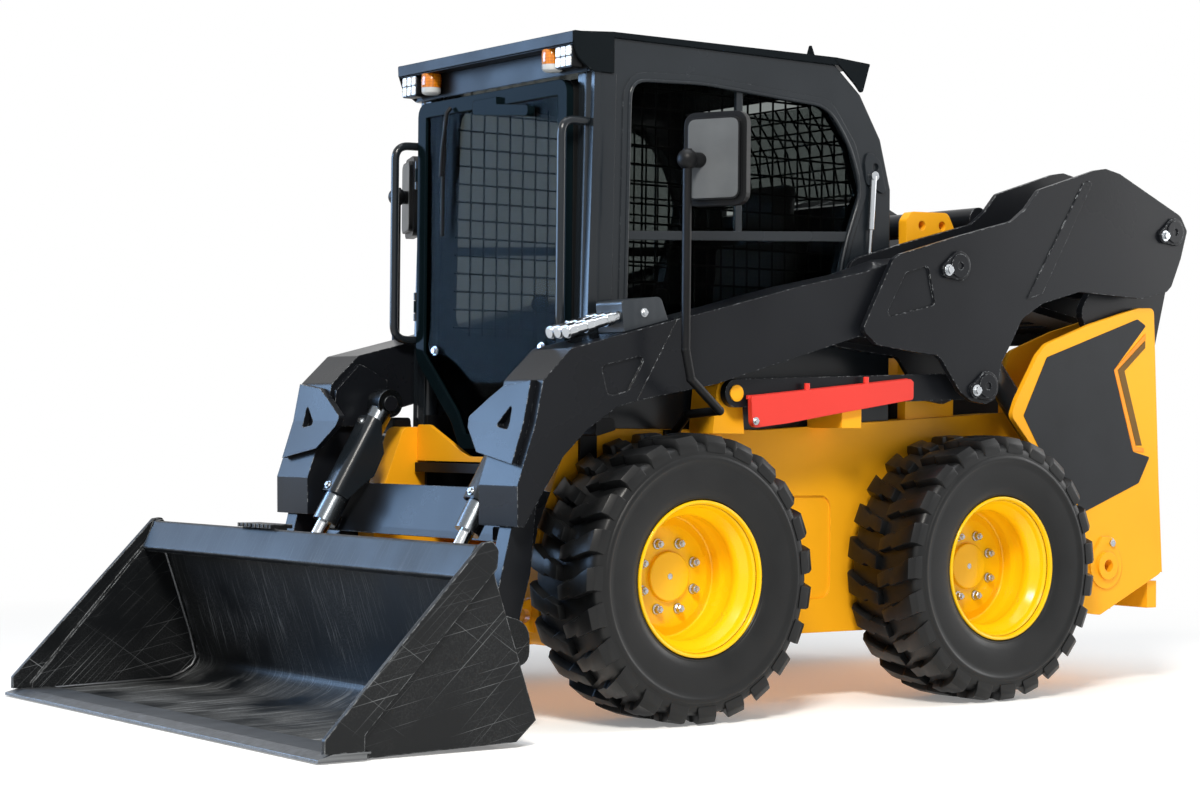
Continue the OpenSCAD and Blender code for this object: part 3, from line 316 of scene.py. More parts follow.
# The floor is seen almost edge on, so its scratches are drawn wider than real ones to show.
on_bed = scratches(tree, place, 13, 400, ((0.0, 0.05, 800, 0.60, 0.70), (0.0, -0.2, 600, 0.64, 0.73)))
bed_only = add(tree, "ShaderNodeMath", {0: on_bed, 1: is_floor}, operation="MULTIPLY")
along_floor = add(tree, "ShaderNodeMath", {0: on_floor, 1: bed_only}, operation="MAXIMUM")
every = add(tree, "ShaderNodeMix", {0: is_side, 2: along_floor, 3: on_sides}, data_type="FLOAT")
patches = add(tree, "ShaderNodeTexNoise", {"Vector": place, "Scale": 1000 / patch_mm, "Detail": 5.0})
height = add(tree, "ShaderNodeSeparateXYZ", {0: place})
low_down = add(tree, "ShaderNodeMapRange", {
    "Value": height.outputs["Z"], "From Min": 0.5, "From Max": 0.05, "To Min": 0.08, "To Max": 0.8})
patchy = add(tree, "ShaderNodeMapRange", {"Value": patches, "From Min": 0.36, "From Max": 0.62})
scoured = add(tree, "ShaderNodeMath", {0: low_down, 1: patchy}, operation="MULTIPLY")
scratched = add(tree, "ShaderNodeMath", {0: every, 1: scoured}, operation="MULTIPLY")
facing = add(tree, "ShaderNodeVectorMath", {0: rounding, 1: flat}, operation="DOT_PRODUCT")
edge = add(tree, "ShaderNodeMapRange", {"Value": facing.outputs["Value"], "From Min": 0.995, "From Max": 0.88})
flakes = add(tree, "ShaderNodeTexNoise", {"Vector": place, "Scale": 1000 / chip_mm, "Detail": 6.0})
knocked = add(tree, "ShaderNodeMapRange", {
    "Value": flakes, "From Min": 0.42, "From Max": 0.58, "To Max": 0.7})
rubbed = add(tree, "ShaderNodeMath", {0: edge, 1: knocked}, operation="MULTIPLY")
bare = add(tree, "ShaderNodeMath", {0: scratched, 1: rubbed}, operation="MAXIMUM")
specks = add(tree, "ShaderNodeTexNoise", {
    "Vector": place, "Scale": 1000 / dust_mm, "Detail": 6.0, "Roughness": 0.7})
dust = add(tree, "ShaderNodeMapRange", {"Value": specks, "From Min": 0.45, "From Max": 0.75})
shaken = add(tree, "ShaderNodeMapRange", {"Value": is_side, "To Min": 1.0, "To Max": 0.25})
held = add(tree, "ShaderNodeMath", {0: dust, 1: shaken}, operation="MULTIPLY")
lying = add(tree, "ShaderNodeMath", {0: is_floor, 1: 0.3, 2: held}, operation="MULTIPLY_ADD")
settled = add(tree, "ShaderNodeMath", {0: lying, 1: scoured}, operation="MULTIPLY", use_clamp=True)
dusty = add(tree, "ShaderNodeMix", {0: settled, 6: tint("#121416"), 7: tint("#747676")}, data_type="RGBA")
base = add(tree, "ShaderNodeMix", {0: bare, 6: dusty.outputs[2], 7: tint("#A7ABAE")}, data_type="RGBA")
dull = add(tree, "ShaderNodeMapRange", {**noise_span, "Value": patches, "To Min": 0.34, "To Max": 0.52})
surface = add(tree, "ShaderNodeBump", {
    "Strength": 0.15, "Distance": 0.0005, "Height": every, "Normal": rounding})
shade_with(tree, {"Base Color": base.outputs[2], "Roughness": dull, "Normal": surface,
                  "Specular IOR Level": 0.2})
dress(bucket_paint, "bucket_shell", "coupler")


# Hose couplers: three plated bodies with knurled sleeves in a painted block on the left arm.
# The block ends where the sleeves begin, so one finish changes over at that line.
coupler_finish, tree, place = new_finish("plated_couplers_in_painted_block")
block_end = 0.597
knurl_mm, edge_mm = 5, 3
bands_per_metre = 1000 / knurl_mm
wave_scale = 20
along_arm = add(tree, "ShaderNodeSeparateXYZ", {0: place})
outside = add(tree, "ShaderNodeMath", {0: along_arm.outputs["X"], 1: block_end}, operation="GREATER_THAN")
knurl = add(tree, "ShaderNodeTexWave", {
    "Vector": place, "Scale": bands_per_metre / wave_scale, "Distortion": 1.5})
rounding = add(tree, "ShaderNodeBevel", {"Radius": edge_mm / 1000}, samples=4)
base = add(tree, "ShaderNodeMix", {0: outside, 6: tint("#23292F"), 7: tint("#C3C7CB")}, data_type="RGBA")
dull = add(tree, "ShaderNodeMix", {0: outside, 2: 0.34, 3: 0.2}, data_type="FLOAT")
surface = add(tree, "ShaderNodeBump", {
    "Strength": 0.25, "Distance": 0.0008, "Height": knurl.outputs[1], "Normal": rounding})
shade_with(tree, {"Base Color": base.outputs[2], "Metallic": outside, "Roughness": dull, "Normal": surface})
dress(coupler_finish, "aux_couplers")


# Glass: toughened panes with a grey-green tint, slightly wavy from the oven. The door's pane has
# a black ceramic edge printed on it, by which it is glued.
tinted_glass, tree, place = new_finish("tinted_toughened_glass")
wave_mm = 300
oven = add(tree, "ShaderNodeTexNoise", {"Vector": place, "Scale": 1000 / wave_mm})
surface = add(tree, "ShaderNodeBump", {"Strength": 0.02, "Distance": 0.001, "Height": oven})
haze = add(tree, "ShaderNodeMapRange", {"Value": oven, "To Min": 0.0, "To Max": 0.04})
shade_with(tree, {"Base Color": tint("#7F8482"), "Roughness": haze, "IOR": 1.045,
                  "Transmission Weight": 1.0, "Normal": surface})
dress(tinted_glass, "cab_glass", "door_glass")
glass_edge = enamel("black_ceramic_edge_of_glass", "#0B1519", roughness=0.12, gloss=0.012, chips=0.0, peel=0.0)
dress(glass_edge, "door_frame")


# Lamp lenses: clear, amber and red polycarbonate, moulded with fine pillow optics on the inside that break the
# light into cells. Each cell carries a painted highlight in its middle and painted shade towards its rim.
def lens_plastic(name, colour, through):
    finish, tree, place = new_finish(name)
    pillow_mm, edge_mm = 9, 4
    pillows = add(tree, "ShaderNodeTexVoronoi", {
        "Vector": place, "Scale": 1000 / pillow_mm, "Randomness": 0.1}).outputs["Distance"]
    rounding = add(tree, "ShaderNodeBevel", {"Radius": edge_mm / 1000}, samples=4)
    surface = add(tree, "ShaderNodeBump", {
        "Strength": 0.5, "Distance": 0.002, "Height": pillows, "Normal": rounding})
    # Painted highlight and shade: each pillow's colour is lighter in its middle and darker towards its rim.
    pillow_painted_shading = add(tree, "ShaderNodeMapRange", {"Value": pillows, "From Max": 0.7, "To Min": 1.1, "To Max": 0.6})
    base = add(tree, "ShaderNodeVectorMath", {0: tint(colour)[:3], 3: pillow_painted_shading}, operation="SCALE")
    shade_with(tree, {"Base Color": base, "Roughness": 0.08, "Transmission Weight": through,
                      "Normal": surface, "Coat Weight": 0.5})
    return finish


clear_lens = lens_plastic("clear_polycarbonate_lens", "#F2F4F6", through=0.15)
amber_lens = lens_plastic("amber_polycarbonate_lens", "#F28C12", through=0.1)
red_lens = lens_plastic("red_polycarbonate_lens", "#B5140E", through=0.1)
dress(clear_lens, "work_lamps")
dress(amber_lens, "amber_lamps")
dress(red_lens, "tail_lamps")


# Tyres: wide industrial tyres with a low rim guard on the sidewall and two rows of slanted
# lugs that meet in a chevron. The carcass is turned from its section; one lug is repeated.
def piece(name, mesh, finish, body, slot, crease=32.0):
    mesh.materials.clear()
    mesh.materials.append(finish)
    mesh.shade_smooth()
    mesh.set_sharp_from_angle(angle=math.radians(crease))
    thing = bpy.data.objects.new(name, mesh)
    bpy.context.collection.objects.link(thing)
    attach(thing, body)
    return thing


def to_mesh(work, name, face_out=True):
    if face_out:
        bmesh.ops.recalc_face_normals(work, faces=work.faces)
    mesh = bpy.data.meshes.new(name)
    work.to_mesh(mesh)
    work.free()
    return mesh


def closed_mesh(name, points, faces):
    work = bmesh.new()
    corners = [work.verts.new(point) for point in points]
    for face in faces:
        work.faces.new([corners[i] for i in face])
    bmesh.ops.remove_doubles(work, verts=work.verts, dist=1e-6)
    return to_mesh(work, name)


def lathe(profile, sides):
    points = []
    faces = []
    count = len(profile)
    for i in range(sides):
        a = 2 * math.pi * i / sides
        points += [(r * math.cos(a), y, r * math.sin(a)) for r, y in profile]
        here, there = i * count, (i + 1) % sides * count
        faces += [(here + j, here + j + 1, there + j + 1, there + j) for j in range(count - 1)]
    return points, faces


def round_edges(work, above, offset, profile):
    bmesh.ops.recalc_face_normals(work, faces=work.faces)
    sharp = [e for e in work.edges if e.calc_face_angle(0) > above]
    bmesh.ops.bevel(work, geom=sharp, offset=offset, segments=2, profile=profile, affect="EDGES")


def node_group(name, inputs):
    group = bpy.data.node_groups.new(name, "GeometryNodeTree")
    group.interface.new_socket("Geometry", in_out="INPUT", socket_type="NodeSocketGeometry")
    for label, kind, value in inputs:
        group.interface.new_socket(label, in_out="INPUT", socket_type=kind).default_value = value
    group.interface.new_socket("Finish", in_out="INPUT", socket_type="NodeSocketMaterial")
    group.interface.new_socket("Geometry", in_out="OUTPUT", socket_type="NodeSocketGeometry")
    return group, add(group, "NodeGroupInput")


def settle(group, geometry, entry):
    real = add(group, "GeometryNodeRealizeInstances", {0: geometry})
    dressed = add(group, "GeometryNodeSetMaterial", {"Geometry": real, "Material": entry.outputs["Finish"]})
    add(group, "NodeGroupOutput", {0: dressed})


def grow(name, seed_mesh, group, **sizes):
    host = bpy.data.objects.new(name, seed_mesh)
    bpy.context.collection.objects.link(host)
    change = host.modifiers.new("shape", "NODES")
    change.node_group = group
    for item in group.interface.items_tree:
        if item.in_out == "INPUT" and item.name in sizes:
            change[item.identifier] = sizes[item.name]
    depsgraph = bpy.context.evaluated_depsgraph_get()
    mesh = bpy.data.meshes.new_from_object(host.evaluated_get(depsgraph))
    bpy.data.objects.remove(host)
    return mesh


lug_count = 23
axle_ring, entry = node_group("ring_about_the_axle", (
    ("Count", "NodeSocketInt", lug_count), ("Start", "NodeSocketFloat", 0.0)))
spots = add(axle_ring, "GeometryNodeMeshLine", {"Count": entry.outputs["Count"], "Offset": (0, 0, 0)})
number = add(axle_ring, "GeometryNodeInputIndex")
share = add(axle_ring, "ShaderNodeMath", {0: number, 1: entry.outputs["Count"]}, operation="DIVIDE")
angle = add(axle_ring, "ShaderNodeMath", {0: share, 1: -2 * math.pi, 2: entry.outputs["Start"]},
            operation="MULTIPLY_ADD")
spin = add(axle_ring, "ShaderNodeCombineXYZ", {"Y": angle})
copies = add(axle_ring, "GeometryNodeInstanceOnPoints", {
    "Points": spots, "Instance": entry.outputs["Geometry"], "Rotation": spin})
settle(axle_ring, copies, entry)

tyre_rubber, tree, place = new_finish("black_tyre_rubber")
bloom_mm, grit_mm = 90, 3
bloom = add(tree, "ShaderNodeTexNoise", {"Vector": place, "Scale": 1000 / bloom_mm, "Detail": 6.0})
grit = add(tree, "ShaderNodeTexNoise", {"Vector": place, "Scale": 1000 / grit_mm, "Detail": 2.0})
base = add(tree, "ShaderNodeMix", {0: bloom, 6: tint("#070809"), 7: tint("#121314")}, data_type="RGBA")
dull = add(tree, "ShaderNodeMapRange", {**noise_span, "Value": bloom, "To Min": 0.3, "To Max": 0.5})
surface = add(tree, "ShaderNodeBump", {"Strength": 0.2, "Distance": 0.0008, "Height": grit})
shade_with(tree, {"Base Color": base.outputs[2], "Roughness": dull, "Normal": surface,
                  "Specular IOR Level": 0.3})

tyre_r = 0.416
wheel_y = 0.668
axle_x = {"front": 0.4185, "rear": -0.7895}
turns = 138
half_section = [(0.2132, 0.1192), (0.2200, 0.1215), (0.2255, 0.1245), (0.2290, 0.1300), (0.2320, 0.1318),
                (0.2345, 0.1318), (0.2375, 0.1345), (0.2560, 0.1395), (0.2760, 0.1430), (0.2980, 0.1450),
                (0.3200, 0.1460), (0.3330, 0.1462), (0.3375, 0.1490), (0.3415, 0.1508), (0.3470, 0.1508),
                (0.3510, 0.1490), (0.3545, 0.1462), (0.3640, 0.1455), (0.3745, 0.1430), (0.3820, 0.1370),
                (0.3875, 0.1250), (0.3900, 0.1000), (0.3910, 0.0500)]
section = half_section + [(0.3905, 0.0)] + [(r, -y) for r, y in reversed(half_section)]
carcass = closed_mesh("carcass", *lathe(section + section[:1], turns))

# One lug: stations from the middle of the tread outwards, as (y, top radius, foot radius,
# half width at the top, half width at the foot), and a last pair that runs down the shoulder.
# Beyond the first three stations the lug steps back, and it slants with its distance outwards.
lug_stations = [(0.0030, 0.4140, 0.384, 0.0200, 0.0235), (0.0280, 0.4160, 0.384, 0.0215, 0.0250),
                (0.0540, 0.4160, 0.384, 0.0215, 0.0250), (0.0640, 0.4160, 0.384, 0.0235, 0.0270),
                (0.0900, 0.4156, 0.383, 0.0260, 0.0300), (0.1150, 0.4148, 0.381, 0.0290, 0.0330),
                (0.1365, 0.4110, 0.374, 0.0315, 0.0350), (0.1475, 0.3920, 0.366, 0.0325, 0.0350),
                (0.1478, 0.3740, 0.362, 0.0310, 0.0330)]
lug_twist = math.radians(8.0)
slant_from, slant_run = 0.010, 0.132
step_after, step_back = 2, 0.026
pitch = 2 * math.pi / lug_count
lug_rows = {"inner": (-1, 0.19), "outer": (1, 0.69)}
tyre_meshes = [carcass]
for row, (side, start) in lug_rows.items():
    work = bmesh.new()
    rings = []
    for station, (y, top, foot, half_top, half_foot) in enumerate(lug_stations):
        turn = lug_twist * max(0.0, y - slant_from) / slant_run - (step_back if station > step_after else 0.0)
        corners = ((foot, -half_foot), (top, -half_top), (top, half_top), (foot, half_foot))
        rings.append([work.verts.new((r * math.cos(turn + w / r), side * y, r * math.sin(turn + w / r)))
                      for r, w in corners])
    for one, two in zip(rings, rings[1:]):
        for c in range(4):
            work.faces.new((one[c], one[(c + 1) % 4], two[(c + 1) % 4], two[c]))
    work.faces.new(rings[0])
    work.faces.new(rings[-1])
    round_edges(work, above=0.5, offset=0.0028, profile=0.6)
    seed = to_mesh(work, "lug_" + row, face_out=False)
    tyre_meshes.append(grow("lugs_" + row, seed, axle_ring, Count=lug_count, Start=-start * pitch,
                            Finish=tyre_rubber))


def at_each_wheel(kind, meshes, y):
    for end, x in axle_x.items():
        for hand, side in (("left", 1), ("right", -1)):
            work = bmesh.new()
            for mesh in meshes:
                work.from_mesh(mesh)
            place_at = Matrix.Translation((x, side * y, tyre_r)) @ Matrix.Diagonal((1, side, 1, 1))
            bmesh.ops.transform(work, matrix=place_at, verts=work.verts)
            if side < 0:
                bmesh.ops.reverse_faces(work, faces=work.faces)
            corner = end + "_" + hand
            yield corner, to_mesh(work, kind + "_" + corner, face_out=False)


for corner, mesh in at_each_wheel("tyre", tyre_meshes, wheel_y):
    tyre = piece("lugged_tyre_" + corner, mesh, tyre_rubber, "wheel_" + corner, "tyre_rubber")
    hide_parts("tyre_" + corner)


# Wheel nuts: eight zinc-plated nuts with collars hold each rim to its hub, and a breather
# plug sits in the middle of the hub cover. All are turned, the nuts with six sides.
nut_count = 8
nut_circle = 0.102
nut_start = 0.39
rim_face = 0.6402
nut_points, nut_faces = lathe([(0.0, 0.027), (0.0065, 0.027), (0.007, 0.020), (0.0105, 0.0205),
                               (0.0128, 0.018), (0.0128, 0.004)], 6)
collar_points, collar_faces = lathe([(0.0105, 0.006), (0.0150, 0.005), (0.0160, 0.003), (0.0160, 0.0)], 28)
shift = len(nut_points)
nut_points = [(x + nut_circle, y, z) for x, y, z in nut_points + collar_points]
nut_faces += [tuple(v + shift for v in face) for face in collar_faces]
nut_ring = grow("nut_ring", closed_mesh("nut", nut_points, nut_faces), axle_ring, Count=nut_count,
                Start=nut_start, Finish=zinc_steel)
plug = closed_mesh("plug", *lathe([(0.0, 0.0155), (0.006, 0.0152), (0.009, 0.0148), (0.009, 0.0125)], 20))
for corner, mesh in at_each_wheel("nuts", (nut_ring, plug), rim_face):
    piece("wheel_nuts_" + corner, mesh, zinc_steel, "wheel_" + corner, "edge_steel")


# Safety mesh: welded round wire in a black coat behind each side window, trimmed to its outline.
# The upright wires lie inside the level ones, and all run a little way under the frame.
origin_mm = 185.5


def at(x, y, z):
    return Vector(((x - origin_mm) / 1000, y / 1000, z / 1000))


wire_along, entry = node_group("round_wire", (
    ("Radius", "NodeSocketFloat", 0.003), ("Sides", "NodeSocketInt", 8)))
path = add(wire_along, "GeometryNodeMeshToCurve", {"Mesh": entry.outputs["Geometry"]})
round_bar = add(wire_along, "GeometryNodeCurvePrimitiveCircle", {
    "Resolution": entry.outputs["Sides"], "Radius": entry.outputs["Radius"]})
wire = add(wire_along, "GeometryNodeCurveToMesh", {
    "Curve": path, "Profile Curve": round_bar, "Fill Caps": True})
settle(wire_along, wire, entry)


def wire_piece(name, paths, finish, body, slot, radius, sides, closed=False):
    points = []
    edges = []
    for route in paths:
        edges += [(len(points) + i, len(points) + i + 1) for i in range(len(route) - 1)]
        if closed:
            edges.append((len(points) + len(route) - 1, len(points)))
        points += route
    seed = bpy.data.meshes.new(name)
    seed.from_pydata(points, edges, [])
    mesh = grow(name, seed, wire_along, Radius=radius, Sides=sides, Finish=finish)
    return piece(name, mesh, finish, body, slot, crease=60)


def crossings(outline, axis, value):
    hits = []
    for a, b in zip(outline, outline[1:] + outline[:1]):
        if (a[axis] - value) * (b[axis] - value) < 0:
            t = (value - a[axis]) / (b[axis] - a[axis])
            hits.append(a[1 - axis] + t * (b[1 - axis] - a[1 - axis]))
    return sorted(hits)


window_outline = [(-205, 1150), (640, 1150), (628, 1872), (354, 1885), (-150, 1858), (-245, 1740),
                  (-296, 1600), (-236, 1450), (-205, 1340)]
mesh_pitch, mesh_rise = 51, 58
mesh_from_x, mesh_from_z = -274.5, 1165
mesh_rows = 40
level_y, upright_y = 426.8, 421.6
tuck = 12
mesh_wire_r = 0.0036
wires = []
for side in (1, -1):
    for i in range(mesh_rows):
        z = mesh_from_z + mesh_rise * i
        hits = crossings(window_outline, 1, z)
        if len(hits) == 2:
            wires.append([at(hits[0] - tuck, side * level_y, z), at(hits[1] + tuck, side * level_y, z)])
        x = mesh_from_x + mesh_pitch * i
        hits = crossings(window_outline, 0, x)
        if len(hits) >= 2:
            wires.append([at(x, side * upright_y, hits[0] - tuck), at(x, side * upright_y, hits[-1] + tuck)])
window_mesh = wire_piece("window_safety_mesh", wires, black_plastic, "chassis", "black_plastic",
                         radius=mesh_wire_r, sides=6)
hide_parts("side_grilles")


# Rims: each is pressed from two steel dishes and welded. The lip is rolled thin, the well is
# stepped, and a flat cover plate closes the hub.
rim_section = [
    (0.0, -0.0140), (0.0660, -0.0140), (0.0700, -0.0148), (0.0722, -0.0175), (0.0724, -0.0270),
    (0.0736, -0.0281), (0.1440, -0.0281), (0.1500, -0.0300), (0.1660, -0.0372), (0.1735, -0.0392),
    (0.1775, -0.0370), (0.1782, -0.0320), (0.1782, -0.0120), (0.1792, -0.0040), (0.1832, 0.0040),
    (0.1846, 0.0120), (0.1846, 0.0360), (0.1835, 0.0420), (0.1800, 0.0500), (0.1797, 0.0620),
    (0.1825, 0.0700), (0.1880, 0.0785), (0.2005, 0.0950), (0.2035, 0.0990), (0.2045, 0.1080),
    (0.2075, 0.1130), (0.2120, 0.1190), (0.2135, 0.1270), (0.2160, 0.1320), (0.2200, 0.1338),
    (0.2238, 0.1318), (0.2248, 0.1275), (0.2232, 0.1230), (0.2117, 0.1202), (0.2117, 0.0990),
    (0.1880, 0.0700), (0.1880, -0.0700), (0.2117, -0.0990), (0.2117, -0.1202), (0.2230, -0.1228),
    (0.2230, -0.1340), (0.2020, -0.1320), (0.2020, -0.0980), (0.1780, -0.0660), (0.1480, -0.0480),
    (0.0451, -0.0480), (0.0451, -0.0277), (0.0, -0.0277)]
rim_shape = closed_mesh("rim", *lathe(rim_section, 96))
for corner, mesh in at_each_wheel("rim", (rim_shape,), wheel_y):
    rim = piece("rolled_rim_" + corner, mesh, rim_enamel, "wheel_" + corner, "rim_paint")
    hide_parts("rim_" + corner)


# Tower panels: a thin dark vinyl panel on each rear tower, with an orange and a brown stripe
# along its notched rear edge, all stuck flat on the plate.
def bend_points(first, corner, last, steps):
    return [(1 - t) ** 2 * first + 2 * t * (1 - t) * corner + t * t * last
            for t in [i / steps for i in range(steps + 1)]]


def rounded(outline, radius, steps=5):
    points = []
    for before, corner, after in zip(outline[-1:] + outline[:-1], outline, outline[1:] + outline[:1]):
        here = Vector(corner)
        back, on = Vector(before) - here, Vector(after) - here
        reach = min(radius, 0.45 * back.length, 0.45 * on.length)
        points += bend_points(here + back.normalized() * reach, here, here + on.normalized() * reach, steps)
    return points


def slabs(name, items, bevel=0.0, sides=(1, -1)):
    work = bmesh.new()
    for loop, push in items:
        for side in sides:
            low = [work.verts.new((p.x, side * p.y, p.z)) for p in loop]
            high = [work.verts.new((p.x + push[0], side * (p.y + push[1]), p.z + push[2])) for p in loop]
            work.faces.new(low)
            work.faces.new(high)
            for i in range(len(loop)):
                j = (i + 1) % len(loop)
                work.faces.new((low[i], low[j], high[j], high[i]))
    if bevel:
        round_edges(work, above=0.6, offset=bevel, profile=0.7)
    return to_mesh(work, name, face_out=not bevel)


def side_loop(outline, y, radius=0.0):
    return [at(x, y, z) for x, z in (rounded(outline, radius) if radius else outline)]


tower_face = 673.0
on_plate, on_panel = tower_face + 0.1, tower_face + 1.3
panel_outline = [(-823, 896), (-929, 1087), (-1363, 1225), (-1404, 1204), (-1247, 1052), (-1344, 781),
                 (-1426, 763), (-1373, 676), (-1105, 581), (-904, 780)]
outer_stripe = [(-1402, 1178), (-1248, 1052), (-1346, 783), (-1398, 779), (-1398, 793), (-1357, 796),
                (-1264, 1052), (-1402, 1158)]
inner_stripe = [(-1402, 1154), (-1268, 1052), (-1359, 802), (-1388, 802), (-1300, 1050), (-1402, 1130)]
panel_vinyl = moulding("charcoal_vinyl_panel", "#26282B", roughness=0.5, grain_mm=3, depth=0.1)
orange_vinyl = moulding("orange_vinyl_stripe", "#F0922E", roughness=0.45, grain_mm=3, depth=0.1)
brown_vinyl = moulding("brown_vinyl_stripe", "#6B4F24", roughness=0.45, grain_mm=3, depth=0.1)
for name, outline, y, radius, thick, vinyl, slot in (
        ("tower_side_panels", panel_outline, on_plate, 6, 0.0014, panel_vinyl, "black_plastic"),
        ("tower_stripes", outer_stripe, on_panel, 0, 0.0009, orange_vinyl, "yellow_paint"),
        ("tower_inner_stripes", inner_stripe, on_plate, 0, 0.0012, brown_vinyl, "yellow_paint")):
    mesh = slabs(name, [(side_loop(outline, y, radius), (0, thick, 0))])
    piece(name, mesh, vinyl, "chassis", slot, crease=20)


# Pin keepers: an egg-shaped plate bolted beside each arm pin keeps the pin from turning.
# Plate and pin head wear the arm's own paint.
def egg(centre, bolt, wide, narrow, steps=14):
    line = Vector(bolt) - Vector(centre)
    lean = math.atan2(line.y, line.x)
    points = []
    for middle, radius, start in ((centre, wide, lean + math.pi / 2), (bolt, narrow, lean - math.pi / 2)):
        points += [(middle[0] + radius * math.cos(start + math.pi * i / steps),
                    middle[1] + radius * math.sin(start + math.pi * i / steps)) for i in range(steps + 1)]
    return points


arm_face = 705.0
arm_pins = ((-493, 1362), (-619, 988), (-1500, 1522))
keeper_bolts = [(x + 50, z - 15) for x, z in arm_pins]
keeper_thick = 0.0103
keepers = [(side_loop(egg(pin, bolt, wide=47, narrow=25), arm_face - 0.3), (0, keeper_thick, 0))
           for pin, bolt in zip(arm_pins, keeper_bolts)]
keeper_mesh = slabs("keepers", keepers, bevel=0.0016)
piece("arm_pin_keepers", keeper_mesh, charcoal_enamel, "lift_arms", "charcoal_paint", crease=35)


# Bolts: zinc-plated hexagon heads on washers, wherever a plate or guard is held. One head is
# repeated on a list of places, turned to face out of the plate.
bolt_heads, entry = node_group("bolt_heads", (
    ("Size", "NodeSocketFloat", 0.011), ("Height", "NodeSocketFloat", 0.008)))
head = add(bolt_heads, "GeometryNodeMeshCylinder", {
    "Vertices": 6, "Radius": entry.outputs["Size"], "Depth": entry.outputs["Height"]})
lift_up = add(bolt_heads, "ShaderNodeMath", {0: entry.outputs["Height"], 1: 0.8}, operation="MULTIPLY")
lift_vector = add(bolt_heads, "ShaderNodeCombineXYZ", {"Z": lift_up})
raised = add(bolt_heads, "GeometryNodeTransform", {"Geometry": head, "Translation": lift_vector})
washer_r = add(bolt_heads, "ShaderNodeMath", {0: entry.outputs["Size"], 1: 1.45}, operation="MULTIPLY")
washer_h = add(bolt_heads, "ShaderNodeMath", {0: entry.outputs["Height"], 1: 0.6}, operation="MULTIPLY")
washer = add(bolt_heads, "GeometryNodeMeshCylinder", {"Vertices": 20, "Radius": washer_r, "Depth": washer_h})
whole = add(bolt_heads, "GeometryNodeJoinGeometry")
bolt_heads.links.new(raised.outputs[0], whole.inputs[0])
bolt_heads.links.new(washer.outputs[0], whole.inputs[0])
way = add(bolt_heads, "GeometryNodeInputNamedAttribute", {"Name": "facing"}, data_type="FLOAT_VECTOR")
turned = add(bolt_heads, "FunctionNodeAlignRotationToVector", {"Vector": way}, axis="Z")
spots = add(bolt_heads, "GeometryNodeMeshToPoints", {"Mesh": entry.outputs["Geometry"]})
heads = add(bolt_heads, "GeometryNodeInstanceOnPoints", {
    "Points": spots, "Instance": whole, "Rotation": turned})
settle(bolt_heads, heads, entry)


def bolts(name, body, places, facing, size, height, sides=(1, -1)):
    seed = bpy.data.meshes.new(name)
    seed.from_pydata([(p.x, side * p.y, p.z) for p in places for side in sides], [], [])
    ways_out = seed.attributes.new("facing", "FLOAT_VECTOR", "POINT")
    for i in range(len(seed.vertices)):
        ways_out.data[i].vector = (facing[0], sides[i % len(sides)] * facing[1], facing[2])
    mesh = grow(name, seed, bolt_heads, Size=size, Height=height, Finish=zinc_steel)
    piece(name, mesh, zinc_steel, body, "edge_steel", crease=25)


outward = (0, 1, 0)
keeper_places = [at(x, arm_face + 10.5, z) for x, z in keeper_bolts]
bolts("keeper_bolts", "lift_arms", keeper_places, outward, size=0.0125, height=0.010)
bolts("tower_bolts", "chassis", [at(-1236, 674.5, 478)], outward, size=0.0125, height=0.010)
bolts("strut_bolts", "chassis", [at(298, 669.0, 868)], outward, size=0.008, height=0.006, sides=(1,))
bolts("coupler_block_bolts", "lift_arms", [at(700, 645.0, 1176)], outward, size=0.009, height=0.007, sides=(1,))


# Cylinder guards: a plate bent round each tilt cylinder, with wide bends that catch the light,
# bolted through its front face. Each station is its distance down the guard, and how far its
# inner and outer flanks come down.
guard_from, guard_to = Vector((925, 915)), Vector((1225, 400))
guard_run = (guard_to - guard_from).normalized()
guard_out = Vector((-guard_run.y, guard_run.x))
guard_y = 400
guard_half = 48
guard_top = 46
bend = 30
sheet_mm = 7
guard_stations = ((70, 6, 10), (110, -20, 2), (150, -52, -20), (230, -58, -20), (290, -30, -20),
                  (340, -12, -20))
guard_bolts_at = (92, 322)
quarter = [math.pi / 2 * i / 8 for i in range(9)]


def bent_sheets(name, stations):
    work = bmesh.new()
    for side in (1, -1):
        skins = [[[work.verts.new((p.x, side * p.y, p.z)) for p in skin] for skin in station]
                 for station in stations]
        last = len(skins[0][0]) - 1
        for one, two in zip(skins, skins[1:]):
            for k in (0, 1):
                for i in range(last):
                    work.faces.new((one[k][i], one[k][i + 1], two[k][i + 1], two[k][i]))
            for i in (0, last):
                work.faces.new((one[0][i], two[0][i], two[1][i], one[1][i]))
        for end in (skins[0], skins[-1]):
            for i in range(last):
                work.faces.new((end[0][i], end[0][i + 1], end[1][i + 1], end[1][i]))
    return to_mesh(work, name)


def guard_section(low_in, low_out):
    flank, crown = guard_half - bend, guard_top - bend
    outer = [(-guard_half, low_in)]
    outer += [(-flank - bend * math.cos(a), crown + bend * math.sin(a)) for a in quarter]
    outer += [(flank + bend * math.sin(a), crown + bend * math.cos(a)) for a in quarter]
    outer += [(guard_half, low_out)]
    thin = (guard_half - sheet_mm) / guard_half
    inner = [(y * thin, z - sheet_mm * max(0.0, (z - crown) / bend)) for y, z in outer]
    return outer, inner


def guard_point(s, y, z):
    spot = guard_from + guard_run * s + guard_out * z
    return at(spot.x, guard_y + y, spot.y)


guard_skins = [[[guard_point(s, y, z) for y, z in skin] for skin in guard_section(low_in, low_out)]
               for s, low_in, low_out in guard_stations]
guard_mesh = bent_sheets("guards", guard_skins)
guards = piece("bent_cylinder_guards", guard_mesh, cab_enamel, "tilt_barrels", "charcoal_paint", crease=40)
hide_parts("tilt_guards")
bolts("guard_bolts", "tilt_barrels", [guard_point(s, 0, guard_top + 0.5) for s in guard_bolts_at],
      (guard_out.x, 0, guard_out.y), size=0.009, height=0.007)


